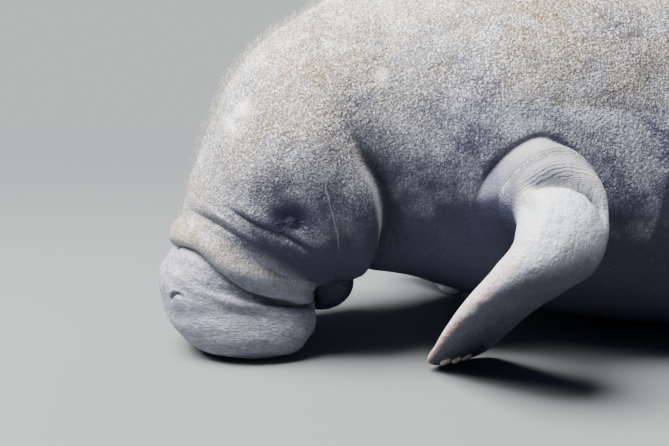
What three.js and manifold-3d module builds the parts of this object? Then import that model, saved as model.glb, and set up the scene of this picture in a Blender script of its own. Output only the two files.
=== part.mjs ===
// A life-size Florida manatee lying on its belly and feeding: the head is bent down so that the
// upper lip pad is pressed on the ground, the left flipper is planted in front of the chest, the right
// one is swung back under it, and the tail paddle lies flat. Millimetres, +Z up, nose towards -X, and the
// animal's left side towards -Y. The ground is z = 0, and y = 0 is the animal's mid-plane. Places are
// given with x = 0 above the back of the neck, and the whole is moved at the end.
import * as THREE from "three";
import { mergeVertices } from "three/addons/utils/BufferGeometryUtils.js";
import Module from "manifold-3d";

const wasm = await Module();
wasm.setup();

// Sizes that hold for the whole animal
const GAP = 0.35; // the parting gap between two named parts
const AROUND = 48; // points round the body
const AROUND_LIMB = 22; // points round a flipper
const REST_X = 980; // the middle of the flat that the belly rests on, where the origin is moved to

// The body is a loft through ribs. Each rib goes from a point on the back to one on the belly, in the
// mid-plane, [x, z]. half is its half width. full is how square it is (2 is an ellipse). low moves the
// widest level towards the belly, and bow moves the flanks towards the tail. rows is how many rows of
// faces lead from it to the next rib.
const RIBS = [
  { at: "lip pad centre", back: [-150, 0], belly: [-150, 0], half: 0, full: 2, low: 0, bow: 0, rows: 1 },
  { at: "lip pad", back: [-199, 0], belly: [-80, 0], half: 78, full: 2.4, low: 0.25, bow: 0, rows: 1 },
  { at: "pad rim", back: [-233, 21], belly: [-57, 12], half: 103, full: 2.5, low: 0.3, bow: 0, rows: 2 },
  { at: "lip side", back: [-253, 50], belly: [-41, 34], half: 114, full: 2.5, low: 0.28, bow: 0, rows: 2 },
  { at: "nostrils", back: [-263, 86], belly: [-37, 57], half: 112, full: 2.35, low: 0.2, bow: 0, rows: 3 },
  { at: "nose top", back: [-262, 120], belly: [-40, 76], half: 108, full: 2.25, low: 0.1, bow: -6, rows: 3 },
  { at: "mouth", back: [-249, 150], belly: [-44, 88], half: 104, full: 2.25, low: 0.06, bow: -15, rows: 1 },
  { at: "fold roll", back: [-239, 177], belly: [-40, 89], half: 118, full: 2.3, low: 0.05, bow: -3, rows: 1 },
  { at: "cheek", back: [-228, 202], belly: [-34, 90], half: 122, full: 2.3, low: 0.05, bow: 6, rows: 2 },
  { at: "under eye", back: [-219, 238], belly: [-22, 92], half: 135, full: 2.35, low: 0.08, bow: 3, rows: 3 },
  { at: "eye", back: [-190, 325], belly: [-6, 95], half: 152, full: 2.4, low: 0.08, bow: 0, rows: 4 },
  { at: "temple", back: [-133, 421], belly: [16, 99], half: 167, full: 2.4, low: 0.06, bow: 6, rows: 3 },
  { at: "neck crease", back: [-40, 492], belly: [45, 106], half: 176, full: 2.2, low: 0.05, bow: 8, rows: 3 },
  { at: "neck", back: [60, 541], belly: [110, 96], half: 202, full: 2.15, low: 0.05, bow: 0, rows: 4 },
  { at: "shoulder", back: [215, 582], belly: [210, 60], half: 252, full: 2.15, low: 0.08, bow: 0, rows: 4 },
  { at: "chest", back: [420, 606], belly: [400, 18], half: 295, full: 2.15, low: 0.1, bow: 0, rows: 4 },
  { at: "belly", back: [700, 616], belly: [690, -12], half: 325, full: 2.15, low: 0.1, bow: 0, rows: 3 },
  { at: "waist", back: [980, 600], belly: [970, -14], half: 322, full: 2.15, low: 0.1, bow: 0, rows: 3 },
  { at: "loins", back: [1260, 542], belly: [1245, -8], half: 284, full: 2.1, low: 0.08, bow: 0, rows: 3 },
  { at: "rump", back: [1520, 445], belly: [1495, 12], half: 222, full: 2.05, low: 0.05, bow: 0, rows: 3 },
  { at: "tail root", back: [1715, 342], belly: [1685, 38], half: 170, full: 2, low: 0, bow: 0, rows: 2 },
  { at: "tail stock", back: [1865, 250], belly: [1840, 46], half: 158, full: 2, low: 0, bow: 0, rows: 2 },
  { at: "paddle root", back: [2005, 172], belly: [1990, 32], half: 214, full: 2, low: 0, bow: 0, rows: 2 },
  { at: "paddle", back: [2150, 108], belly: [2145, 6], half: 306, full: 2, low: 0, bow: 0, rows: 2 },
  { at: "paddle middle", back: [2300, 70], belly: [2300, -6], half: 350, full: 2, low: 0, bow: 0, rows: 2 },
  { at: "paddle end", back: [2430, 50], belly: [2430, -6], half: 300, full: 2, low: 0, bow: 0, rows: 2 },
  { at: "paddle rim", back: [2510, 36], belly: [2510, -4], half: 185, full: 2, low: 0, bow: 0, rows: 2 },
  { at: "paddle tip", back: [2548, 14], belly: [2548, 14], half: 0, full: 2, low: 0, bow: 0, rows: 0 },
];
const LAST_RIB = RIBS.length - 1;

// The named lengths of the body, each with the rib number where it ends.
const LENGTHS = [
  { name: "muzzle", end: 6 },
  { name: "head", end: 12 },
  { name: "neck", end: 13.25 },
  { name: "chest", end: 15.5 },
  { name: "belly", end: 17.5 },
  { name: "loins", end: 19.5 },
  { name: "tail_stock", end: 22 },
  { name: "tail_paddle", end: LAST_RIB },
];

// Folds of skin that run round the head. path gives the rib number at angles down from the back, in
// degrees. deep and wide are the groove; rise, behind and swell are the roll of skin behind it. from
// and to are the angles between which the fold shows, and fade is how far it takes to die away. The
// rows of faces near a fold follow it: row is the row along its groove, and step is their spacing.
const FOLDS = [
  {
    at: "mouth",
    path: [
      [0, 6.2], [25, 6.7], [42, 6.85], [65, 6.5], [90, 6],
      [107, 5.8], [122, 5.6], [137, 5.1], [150, 4.7], [180, 4.6],
    ],
    row: 6, step: 0.25, deep: 13, wide: 7, rise: 5, behind: 18, swell: 12, from: -40, to: 150, fade: 14,
  },
  {
    at: "lower cheek",
    path: [[0, 7.5], [60, 7.7], [93, 7.68], [104, 7.62], [117, 7.87], [135, 8.05], [180, 7.9]],
    row: 7.7, step: 0.2, deep: 8, wide: 7, rise: 3, behind: 15, swell: 10, from: 90, to: 138, fade: 10,
  },
  {
    at: "upper cheek",
    path: [[0, 8.4], [74, 8.48], [110, 8.6], [180, 8.7]],
    row: 8.5, step: 0.15, deep: 4, wide: 6, rise: 1, behind: 14, swell: 10, from: 26, to: 76, fade: 14,
  },
  {
    at: "under the eye",
    path: [[0, 9.2], [50, 9.2], [72, 9.31], [88, 9.57], [100, 9.75], [180, 9.8]],
    row: 9.5, step: 0.07, deep: 6, wide: 6, rise: 2, behind: 12, swell: 9, from: 56, to: 110, fade: 8,
  },
  {
    at: "neck",
    path: [[0, 12], [60, 11.6], [89, 11.76], [107, 12], [126, 11.95], [142, 11.5], [155, 11.1], [180, 11]],
    row: 12, step: 0.14, deep: 20, wide: 17, rise: 0, behind: 0, swell: 1, from: 64, to: 200, fade: 22,
  },
];
// Between the folds some rows stay straight, so that a fold moves only what lies near it.
const STRAIGHT_ROWS = [0, 3.5, 10.3, 10.8, 13.2];
// The cheek in front of the neck fold stands out as a jowl.
const JOWL = { rib: 11.2, rise: 12, wide: 0.8, from: 60, to: 150, fade: 24 };

const EYE = { rib: 9.98, angle: 88, ball: 10.5, sunk: 10 };
const SOCKET = { deep: 8, wide: 22 };
const LID = { ring: 11.5, thick: 4.2, long: 1.15, high: 0.78, out: 1.5 };
const NOSTRIL = { rib: 4.1, angle: 36, outer: 15, inner: 10, deep: 16, turn: 190 };
const EAR = { rib: 10.9, angle: 74, hole: 2.6, deep: 12 };
const JAW = { at: [-16, 0, 82], size: [46, 52, 36], droop: 20 };

// A flipper is lofted along a path, here for the left side. wide lies across the blade and thick
// through it; face turns the blade's width from straight aft towards the mid-line, in degrees; foil
// thins the trailing edge; shift moves the blade towards its trailing edge.
const UPPER_ARM = [
  { at: [218, -170, 266], wide: 140, thick: 132, face: 0, foil: 0, shift: 0 },
  { at: [211, -222, 254], wide: 138, thick: 136, face: 0, foil: 0, shift: 0 },
  { at: [205, -258, 243], wide: 126, thick: 128, face: 0, foil: 0, shift: 0 },
  { at: [200, -284, 231], wide: 112, thick: 114, face: 0, foil: 0, shift: 0 },
  { at: [196, -300, 222], wide: 88, thick: 86, face: 0, foil: 0, shift: 0 },
];
const FLIPPER = [
  { at: [202, -268, 240], wide: 84, thick: 78, face: 0, foil: 0, shift: 0 },
  { at: [196, -296, 227], wide: 96, thick: 86, face: 0, foil: 0, shift: 0 },
  { at: [185, -322, 209], wide: 102, thick: 80, face: 0, foil: 0.05, shift: 0 },
  { at: [171, -331, 183], wide: 104, thick: 66, face: 2, foil: 0.15, shift: 0 },
  { at: [157, -312, 152], wide: 110, thick: 52, face: 4, foil: 0.3, shift: 0 },
  { at: [145, -276, 117], wide: 114, thick: 40, face: 6, foil: 0.4, shift: 2 },
  { at: [137, -236, 79], wide: 114, thick: 31, face: 9, foil: 0.45, shift: 4 },
  { at: [130, -198, 41], wide: 112, thick: 23, face: 12, foil: 0.45, shift: 8 },
  { at: [123, -170, 12], wide: 102, thick: 16, face: 14, foil: 0.4, shift: 11 },
  { at: [120, -160, 1], wide: 78, thick: 10, face: 14, foil: 0.2, shift: 11 },
];
const LIMB_ROWS = 3; // rows of faces between two stations
const SHOULDER = { x: 200, z: 222 }; // the flippers swing about an axis across the body through here
const SIDES = [{ side: -1, word: "left", swing: 0 }, { side: 1, word: "right", swing: 48 }]; // in degrees
const NAILS = [-0.62, -0.3, 0.02]; // places across the blade, from -1 at its leading edge
const NAIL = { station: 7.6, long: 17, wide: 14, thick: 7 };

const HIDE = { color: 0x8d8c92, roughness: 0.72, metalness: 0 };
const PALE_HIDE = { color: 0xa5a3aa, roughness: 0.68, metalness: 0 };
const EYEBALL = { color: 0x120e0c, roughness: 0.12, metalness: 0 };

// Curves
const inDegrees = THREE.MathUtils.radToDeg;
const inRadians = THREE.MathUtils.degToRad;
const bell = (x, width) => Math.exp(-((x / width) ** 2));

// From 0 to 1 as x goes from one value to another, level at both ends.
function fadeIn(from, to, x) {
  const s = THREE.MathUtils.clamp((x - from) / (to - from), 0, 1);
  return s * s * (3 - 2 * s);
}

// 1 between two values, and 0 outside them.
function between(from, to, fade, x) {
  return fadeIn(from - fade, from + fade, x) * (1 - fadeIn(to - fade, to + fade, x));
}

// A smooth curve through values at uneven knots, whose slope at a knot is that of the parabola
// through it and its two neighbours.
function through(knots, values) {
  const last = knots.length - 1;
  const slope = (i) => (values[i + 1] - values[i]) / (knots[i + 1] - knots[i]);
  const tangents = knots.map((_, i) => {
    if (i === 0) return slope(0);
    if (i === last) return slope(last - 1);
    const before = knots[i] - knots[i - 1];
    const after = knots[i + 1] - knots[i];
    return (slope(i - 1) * after + slope(i) * before) / (before + after);
  });
  return (x) => {
    let i = 0;
    while (i < last - 1 && x > knots[i + 1]) i += 1;
    const h = knots[i + 1] - knots[i];
    const s = THREE.MathUtils.clamp((x - knots[i]) / h, 0, 1);
    return (
      values[i] * (1 + 2 * s) * (1 - s) ** 2 +
      tangents[i] * h * s * (1 - s) ** 2 +
      values[i + 1] * s * s * (3 - 2 * s) +
      tangents[i + 1] * h * s * s * (s - 1)
    );
  };
}
const curveThrough = (pairs) => through(pairs.map((pair) => pair[0]), pairs.map((pair) => pair[1]));

// The body surface
const apart = (a, b) => Math.hypot(a[0] - b[0], a[1] - b[1]);
const ribKnots = [0];
for (let i = 1; i <= LAST_RIB; i += 1) {
  const step = apart(RIBS[i].back, RIBS[i - 1].back) / 2 + apart(RIBS[i].belly, RIBS[i - 1].belly) / 2;
  ribKnots.push(ribKnots[i - 1] + step);
}
const column = (pick) => through(ribKnots, RIBS.map(pick));
const RIB = {
  backX: column((rib) => rib.back[0]),
  backZ: column((rib) => rib.back[1]),
  bellyX: column((rib) => rib.belly[0]),
  bellyZ: column((rib) => rib.belly[1]),
  half: column((rib) => rib.half),
  full: column((rib) => rib.full),
  low: column((rib) => rib.low),
  bow: column((rib) => rib.bow),
};

// A rib number such as 6.5, halfway between two ribs, as a knot.
function knotOf(rib) {
  const i = Math.min(Math.floor(rib), LAST_RIB - 1);
  return ribKnots[i] + (rib - i) * (ribKnots[i + 1] - ribKnots[i]);
}

// The loft without folds. rib is a rib number. angle runs from 0 on the back over the left flank to a
// half turn on the belly and up the right flank.
function loft(rib, angle) {
  const k = knotOf(rib);
  const full = RIB.full(k);
  const c = Math.cos(angle);
  const s = Math.sin(angle);
  const radius = (Math.abs(c) ** full + Math.abs(s) ** full) ** (-1 / full);
  const up = radius * c - RIB.low(k) * (1 - (radius * c) ** 2);
  const side = radius * s;
  const back = [RIB.backX(k), RIB.backZ(k)];
  const belly = [RIB.bellyX(k), RIB.bellyZ(k)];
  const rise = [(back[0] - belly[0]) / 2, (back[1] - belly[1]) / 2];
  const length = Math.hypot(...rise) || 1;
  const bow = (RIB.bow(k) * side * side) / length;
  return new THREE.Vector3(
    (back[0] + belly[0]) / 2 + rise[0] * up + rise[1] * bow,
    -RIB.half(k) * side,
    (back[1] + belly[1]) / 2 + rise[1] * up - rise[0] * bow,
  );
}

// The outward normal at a place on the loft, and how many millimetres one rib number is there.
function frameAt(rib, angle) {
  const step = 0.02;
  const turn = 0.01;
  const fore = Math.max(rib - step, step);
  const aft = Math.min(rib + step, LAST_RIB - step);
  const along = loft(aft, angle).sub(loft(fore, angle));
  const across = loft(rib, angle + turn).sub(loft(rib, angle - turn));
  return { normal: across.cross(along).normalize(), perRib: along.length() / (aft - fore) };
}

// Degrees down from the back, on either side.
function degreesDown(angle) {
  const down = inDegrees(angle) % 360;
  return down > 180 ? 360 - down : down;
}

const foldRibs = FOLDS.map((fold) => curveThrough(fold.path));

// How far the skin stands out from the loft at a place, in millimetres.
function relief(rib, angle, perRib) {
  const down = degreesDown(angle);
  let out = 0;
  FOLDS.forEach((fold, i) => {
    const away = (rib - foldRibs[i](down)) * perRib;
    const shows = between(fold.from, fold.to, fold.fade, down);
    out -= shows * fold.deep * bell(away, fold.wide);
    out += shows * fold.rise * bell(away - fold.behind, fold.swell);
  });
  out += JOWL.rise * between(JOWL.from, JOWL.to, JOWL.fade, down) * bell(rib - JOWL.rib, JOWL.wide);
  return out;
}

const eyePlace = loft(EYE.rib, inRadians(EYE.angle));

// The skin, at a rib number and an angle, grown outwards by grow.
function skin(rib, angle, grow = 0) {
  const p = loft(rib, angle);
  if (rib > 0 && rib < LAST_RIB) {
    const { normal, perRib } = frameAt(rib, angle);
    const fromEye = Math.hypot(p.x - eyePlace.x, Math.abs(p.y) - Math.abs(eyePlace.y), p.z - eyePlace.z);
    p.addScaledVector(normal, relief(rib, angle, perRib) - SOCKET.deep * bell(fromEye, SOCKET.wide) + grow);
  }
  if (grow === 0) p.z = Math.max(p.z, 0);
  return p;
}

// The rows that folds and straight rows hold, in order, each with its rib number at an angle.
const heldRows = [
  ...FOLDS.map((fold, i) => ({ row: fold.row, rib: foldRibs[i] })),
  ...[...STRAIGHT_ROWS, LAST_RIB].map((row) => ({ row, rib: () => row })),
].sort((a, b) => a.row - b.row);

// The rib number of a row at an angle. Rows between two held ones are spread evenly.
function ribOfRow(row, angle) {
  const down = degreesDown(angle);
  let i = 0;
  while (i < heldRows.length - 2 && row > heldRows[i + 1].row) i += 1;
  const [fore, aft] = [heldRows[i], heldRows[i + 1]];
  return THREE.MathUtils.mapLinear(row, fore.row, aft.row, fore.rib(down), aft.rib(down));
}

// Solids
const toSolid = (geometry) => {
  const bare = geometry.clone();
  bare.deleteAttribute("normal");
  bare.deleteAttribute("uv");
  const merged = mergeVertices(bare, 1e-4);
  const vertProperties = new Float32Array(merged.getAttribute("position").array);
  const triVerts = new Uint32Array(merged.index.array);
  return new wasm.Manifold(new wasm.Mesh({ numProp: 3, vertProperties, triVerts }));
};

// The largest closed surface of a solid.
function largest(solid) {
  const pieces = solid.decompose();
  return pieces.reduce((a, b) => (Math.abs(a.volume()) > Math.abs(b.volume()) ? a : b));
}

function toGeometry(solid) {
  const { numProp, vertProperties, triVerts } = solid.getMesh();
  const geometry = new THREE.BufferGeometry();
  geometry.setAttribute("position", new THREE.BufferAttribute(new Float32Array(vertProperties), numProp));
  geometry.setIndex(Array.from(triVerts));
  return geometry;
}

// A closed surface from rings of points, each of one point or of the same number. An open end is
// closed on the middle of its ring.
function lofted(rings) {
  const points = [];
  const faces = [];
  const numbered = rings.map((ring) => ring.map((p) => points.push(p) - 1));
  for (let r = 1; r < numbered.length; r += 1) {
    const fore = numbered[r - 1];
    const aft = numbered[r];
    const count = Math.max(fore.length, aft.length);
    for (let i = 0; i < count; i += 1) {
      const j = (i + 1) % count;
      if (fore.length === 1) faces.push(fore[0], aft[j], aft[i]);
      else if (aft.length === 1) faces.push(fore[i], fore[j], aft[0]);
      else faces.push(fore[i], fore[j], aft[i], fore[j], aft[j], aft[i]);
    }
  }
  const close = (ring, isFore) => {
    if (ring.length === 1) return;
    const middle = new THREE.Vector3();
    ring.forEach((i) => middle.add(points[i]));
    const centre = points.push(middle.divideScalar(ring.length)) - 1;
    ring.forEach((i, n) => {
      const j = ring[(n + 1) % ring.length];
      if (isFore) faces.push(centre, j, i);
      else faces.push(centre, i, j);
    });
  };
  close(numbered[0], true);
  close(numbered[numbered.length - 1], false);
  const geometry = new THREE.BufferGeometry();
  geometry.setAttribute("position", new THREE.Float32BufferAttribute(points.flatMap((p) => p.toArray()), 3));
  geometry.setIndex(faces);
  return geometry;
}

// All rows of faces: those along the folds, and the ribs' own where no fold row is close.
const beside = [-2, -1, 0, 1, 2];
const foldRows = FOLDS.flatMap(({ row, step }) => beside.map((n) => ({ row: row + n * step, step })));
const ribRows = RIBS.flatMap((rib, i) => Array.from({ length: rib.rows }, (_, j) => i + j / rib.rows));
const isFree = (row) => foldRows.every((near) => Math.abs(near.row - row) > near.step * 0.7);
const allRows = [...foldRows.map((near) => near.row), ...ribRows.filter(isFree)].sort((a, b) => a - b);

// A closed length of the body between two rows, set back by the gap at its front end.
function bodyLength(start, end, grow = 0) {
  const inside = allRows.filter((row) => row > start + 0.05 && row < end - 0.05);
  const rings = [start, ...inside, end].map((row, r) => {
    if (row === 0 || row === LAST_RIB) return [skin(row, 0)];
    return Array.from({ length: AROUND }, (_, i) => {
      const angle = (2 * Math.PI * i) / AROUND;
      const rib = ribOfRow(row, angle);
      const p = skin(rib, angle, grow);
      if (r > 0 || grow > 0) return p;
      const aft = skin(rib + 0.03, angle).sub(p).normalize();
      return p.addScaledVector(aft, GAP);
    });
  });
  return lofted(rings);
}

// A limb lofted through its stations. side is -1 for the left and 1 for the right, and swing turns it
// about the shoulder, back towards the tail, in degrees.
function limb(stations, side, swing) {
  const knots = [0];
  for (let i = 1; i < stations.length; i += 1) {
    const step = new THREE.Vector3(...stations[i].at).distanceTo(new THREE.Vector3(...stations[i - 1].at));
    knots.push(knots[i - 1] + step);
  }
  const value = (pick) => through(knots, stations.map(pick));
  const place = [0, 1, 2].map((axis) => value((station) => station.at[axis]));
  const at = (k) => new THREE.Vector3(...place.map((curve) => curve(k)));
  const wide = value((station) => station.wide);
  const thick = value((station) => station.thick);
  const face = value((station) => station.face);
  const foil = value((station) => station.foil);
  const shift = value((station) => station.shift);
  const end = knots[knots.length - 1];

  // A point at a distance along the path, from -1 at the leading edge to 1 at the trailing one, and
  // from -1 on the palm to 1 on the outer side.
  function point(k, across, outwards, grow = 0) {
    const tangent = at(Math.min(k + 1, end)).sub(at(Math.max(k - 1, 0))).normalize();
    const turned = inRadians(face(k));
    const width = new THREE.Vector3(Math.cos(turned), Math.sin(turned), 0);
    width.addScaledVector(tangent, -width.dot(tangent)).normalize();
    const depth = tangent.clone().cross(width);
    const p = at(k)
      .addScaledVector(width, (wide(k) / 2 + grow) * across + shift(k))
      .addScaledVector(depth, (thick(k) / 2 + grow) * outwards * (1 - foil(k) * across))
      .addScaledVector(tangent, k === end ? grow : 0);
    const shoulder = new THREE.Vector3(SHOULDER.x, 0, SHOULDER.z);
    p.sub(shoulder).applyAxisAngle(new THREE.Vector3(0, -1, 0), inRadians(swing)).add(shoulder);
    return p.set(p.x, -side * p.y, grow === 0 ? Math.max(p.z, 0) : p.z);
  }

  const rows = knots.slice(1).flatMap((next, i) =>
    Array.from({ length: LIMB_ROWS }, (_, j) => THREE.MathUtils.lerp(knots[i], next, j / LIMB_ROWS)),
  );
  return { knots, point, rows: [...rows, end] };
}

function limbSolid(shape, side, grow = 0) {
  const rings = shape.rows.map((k) =>
    Array.from({ length: AROUND_LIMB }, (_, i) => {
      const angle = (-side * 2 * Math.PI * i) / AROUND_LIMB;
      return shape.point(k, Math.cos(angle), Math.sin(angle), grow);
    }),
  );
  return toSolid(lofted(rings));
}

// Turns and moves a geometry so that its +Z points along a direction, with its +X kept level.
function setOn(geometry, place, direction) {
  const level = new THREE.Vector3(0, 0, 1).cross(direction).normalize();
  const up = direction.clone().cross(level);
  geometry.applyMatrix4(new THREE.Matrix4().makeBasis(level, up, direction).setPosition(place));
  return geometry;
}

// Small features, each for one side: -1 is the left and 1 the right

// Degrees down from the back on the left side, as an angle on the wanted side.
const onSide = (degrees, side) => inRadians(side < 0 ? degrees : 360 - degrees);

function eyeSphere(side, radius) {
  const angle = onSide(EYE.angle, side);
  const { normal } = frameAt(EYE.rib, angle);
  const centre = skin(EYE.rib, angle).addScaledVector(normal, -EYE.sunk + SOCKET.deep / 2);
  const geometry = new THREE.SphereGeometry(radius, 18, 12).translate(...centre.toArray());
  return { geometry, centre, normal };
}

function lids(side) {
  const { centre, normal } = eyeSphere(side, EYE.ball);
  const ring = new THREE.TorusGeometry(LID.ring, LID.thick, 8, 24).scale(LID.long, LID.high, 1);
  return setOn(ring, centre.clone().addScaledVector(normal, EYE.ball * 0.45 + LID.out), normal);
}

// A nostril is a crescent slot round its own plug.
function nostril(side) {
  const angle = onSide(NOSTRIL.angle, side);
  const half = inRadians(NOSTRIL.turn / 2);
  const crescent = new THREE.Shape();
  crescent.absarc(0, 0, NOSTRIL.outer, Math.PI / 2 - half, Math.PI / 2 + half, false);
  crescent.absarc(0, 0, NOSTRIL.inner, Math.PI / 2 + half, Math.PI / 2 - half, true);
  const cut = { depth: 2 * NOSTRIL.deep, bevelEnabled: false, curveSegments: 10 };
  const slot = new THREE.ExtrudeGeometry(crescent, cut);
  slot.translate(0, 0, -NOSTRIL.deep);
  return setOn(slot, skin(NOSTRIL.rib, angle), frameAt(NOSTRIL.rib, angle).normal);
}

function earHole(side) {
  const angle = onSide(EAR.angle, side);
  const pit = new THREE.CylinderGeometry(EAR.hole, EAR.hole, 2 * EAR.deep, 12).rotateX(Math.PI / 2);
  return setOn(pit, skin(EAR.rib, angle), frameAt(EAR.rib, angle).normal);
}

// Nails lie on the outer side of the flipper near its tip.
function nails(shape) {
  const station = Math.floor(NAIL.station);
  const along = THREE.MathUtils.lerp(shape.knots[station], shape.knots[station + 1], NAIL.station - station);
  return NAILS.map((across) => {
    const outwards = Math.sqrt(1 - across * across);
    const place = shape.point(along, across, outwards);
    const out = place.clone().sub(shape.point(along, across, 0)).normalize();
    const level = shape.point(along + 2, across, outwards).sub(place).cross(out).normalize();
    const lying = out.clone().cross(level).normalize();
    const nail = new THREE.SphereGeometry(1, 10, 6).scale(NAIL.wide / 2, NAIL.long / 2, NAIL.thick / 2);
    nail.applyMatrix4(new THREE.Matrix4().makeBasis(level, lying, out).setPosition(place));
    return toSolid(nail);
  });
}

// The animal
const manatee = new THREE.Group();

function addPart(name, solid, finish) {
  const mesh = new THREE.Mesh(toGeometry(largest(solid)), new THREE.MeshStandardMaterial(finish));
  mesh.name = name;
  manatee.add(mesh);
}

LENGTHS.forEach(({ name, end }, i) => {
  const start = i === 0 ? 0 : LENGTHS[i - 1].end;
  let solid = toSolid(bodyLength(start, end));
  SIDES.forEach(({ side }) => {
    if (name === "muzzle") solid = solid.subtract(toSolid(nostril(side)));
    if (name !== "head") return;
    solid = solid.add(toSolid(lids(side)));
    solid = solid.subtract(toSolid(eyeSphere(side, EYE.ball + GAP).geometry));
    solid = solid.subtract(toSolid(earHole(side)));
  });
  addPart(name, solid, name === "muzzle" ? PALE_HIDE : HIDE);
});

// The chin hangs from the head behind the lip pad, and the slot between them is the mouth.
const chin = new THREE.SphereGeometry(1, 32, 20).scale(...JAW.size);
chin.rotateY(-inRadians(JAW.droop)).translate(...JAW.at);
const headRoom = toSolid(bodyLength(5, 13.2, GAP)).add(toSolid(bodyLength(0, 6.2, GAP)));
addPart("lower_jaw", toSolid(chin).subtract(headRoom), HIDE);

const trunkRoom = toSolid(bodyLength(11.2, 17, GAP));
SIDES.forEach(({ side, word, swing }) => {
  addPart(`eye_${word}`, toSolid(eyeSphere(side, EYE.ball).geometry), EYEBALL);
  const armShape = limb(UPPER_ARM, side, 0);
  addPart(`upper_arm_${word}`, limbSolid(armShape, side).subtract(trunkRoom), HIDE);
  const bladeShape = limb(FLIPPER, side, swing);
  let flipper = limbSolid(bladeShape, side);
  nails(bladeShape).forEach((nail) => {
    flipper = flipper.add(nail);
  });
  flipper = flipper.subtract(limbSolid(armShape, side, GAP)).subtract(trunkRoom);
  addPart(`flipper_${word}`, flipper, PALE_HIDE);
});

manatee.position.x = -REST_X;

export default manatee;
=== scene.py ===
import bpy
import numpy as np
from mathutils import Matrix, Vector


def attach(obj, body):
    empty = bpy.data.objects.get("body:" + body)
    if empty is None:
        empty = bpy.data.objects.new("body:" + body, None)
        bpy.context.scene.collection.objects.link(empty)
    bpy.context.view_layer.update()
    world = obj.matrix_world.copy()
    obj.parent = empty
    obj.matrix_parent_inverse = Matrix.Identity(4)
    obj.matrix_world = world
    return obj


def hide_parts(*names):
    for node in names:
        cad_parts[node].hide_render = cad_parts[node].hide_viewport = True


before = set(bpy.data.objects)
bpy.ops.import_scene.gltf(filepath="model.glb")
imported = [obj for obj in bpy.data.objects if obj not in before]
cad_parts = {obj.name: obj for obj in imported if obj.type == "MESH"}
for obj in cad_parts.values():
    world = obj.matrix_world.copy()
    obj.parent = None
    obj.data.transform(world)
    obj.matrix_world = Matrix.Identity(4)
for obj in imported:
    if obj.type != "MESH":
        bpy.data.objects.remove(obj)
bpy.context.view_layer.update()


# The hide of the whole animal: one thick, wrinkled skin over fat and muscle, with no seam from the
# lip pad to the tail paddle. It is a loft through ribs, worked out in millimetres with x = 0 above the
# back of the neck, +x towards the tail and -y the animal's left. Folds and features are pushed into it.
METRE = 1000.0
REST_X = 980.0  # where the origin, the middle of the belly's flat, lies in these millimetres

# Each rib is a closed curve from a point on the back to one on the belly, both in the mid-plane.
# The columns are: back x, back z, belly x, belly z, half width, squareness, low, bow.
RIBS = np.array([
    [-150, 0, -150, 0, 0, 2, 0, 0],  # 0, the middle of the lip pad
    [-199, 0, -80, 0, 78, 2.4, 0.25, 0],
    [-233, 21, -57, 12, 103, 2.5, 0.3, 0],  # 2, its rim
    [-253, 50, -41, 34, 114, 2.5, 0.28, 0],
    [-263, 86, -37, 57, 112, 2.35, 0.2, 0],  # 4, the nostrils
    [-262, 120, -40, 76, 112, 2.25, 0.1, -6],
    [-249, 150, -44, 88, 109, 2.25, 0.06, -13],  # 6, the mouth fold
    [-239, 177, -40, 89, 118, 2.3, 0.05, -3],
    [-228, 202, -34, 90, 122, 2.3, 0.05, 6],  # 8, the cheek
    [-219, 238, -22, 92, 135, 2.35, 0.08, 3],
    [-190, 325, -6, 95, 152, 2.4, 0.08, 0],  # 10, the eyes
    [-133, 421, 16, 99, 167, 2.4, 0.06, 6],
    [-40, 492, 45, 106, 176, 2.2, 0.05, 8],  # 12, the neck crease
    [60, 541, 110, 96, 202, 2.15, 0.05, 0],
    [215, 582, 210, 60, 252, 2.15, 0.08, 0],  # 14, the shoulders
    [420, 606, 400, 18, 295, 2.15, 0.1, 0],
    [700, 616, 690, -12, 325, 2.15, 0.1, 0],  # 16, the belly
    [980, 600, 970, -14, 322, 2.15, 0.1, 0],
    [1260, 542, 1245, -8, 284, 2.1, 0.08, 0],  # 18, the loins
    [1520, 445, 1495, 12, 222, 2.05, 0.05, 0],
    [1715, 342, 1685, 38, 170, 2, 0, 0],  # 20, the root of the tail
    [1865, 250, 1840, 46, 158, 2, 0, 0],
    [2005, 172, 1990, 32, 214, 2, 0, 0],  # 22, the root of the paddle
    [2150, 108, 2145, 6, 306, 2, 0, 0],
    [2300, 70, 2300, -6, 350, 2, 0, 0],  # 24, the middle of the paddle
    [2430, 50, 2430, -6, 300, 2, 0, 0],
    [2510, 36, 2510, -4, 185, 2, 0, 0],
    [2548, 14, 2548, 14, 0, 2, 0, 0],  # 27, the tip of the paddle
], float)
LAST_RIB = len(RIBS) - 1

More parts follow.
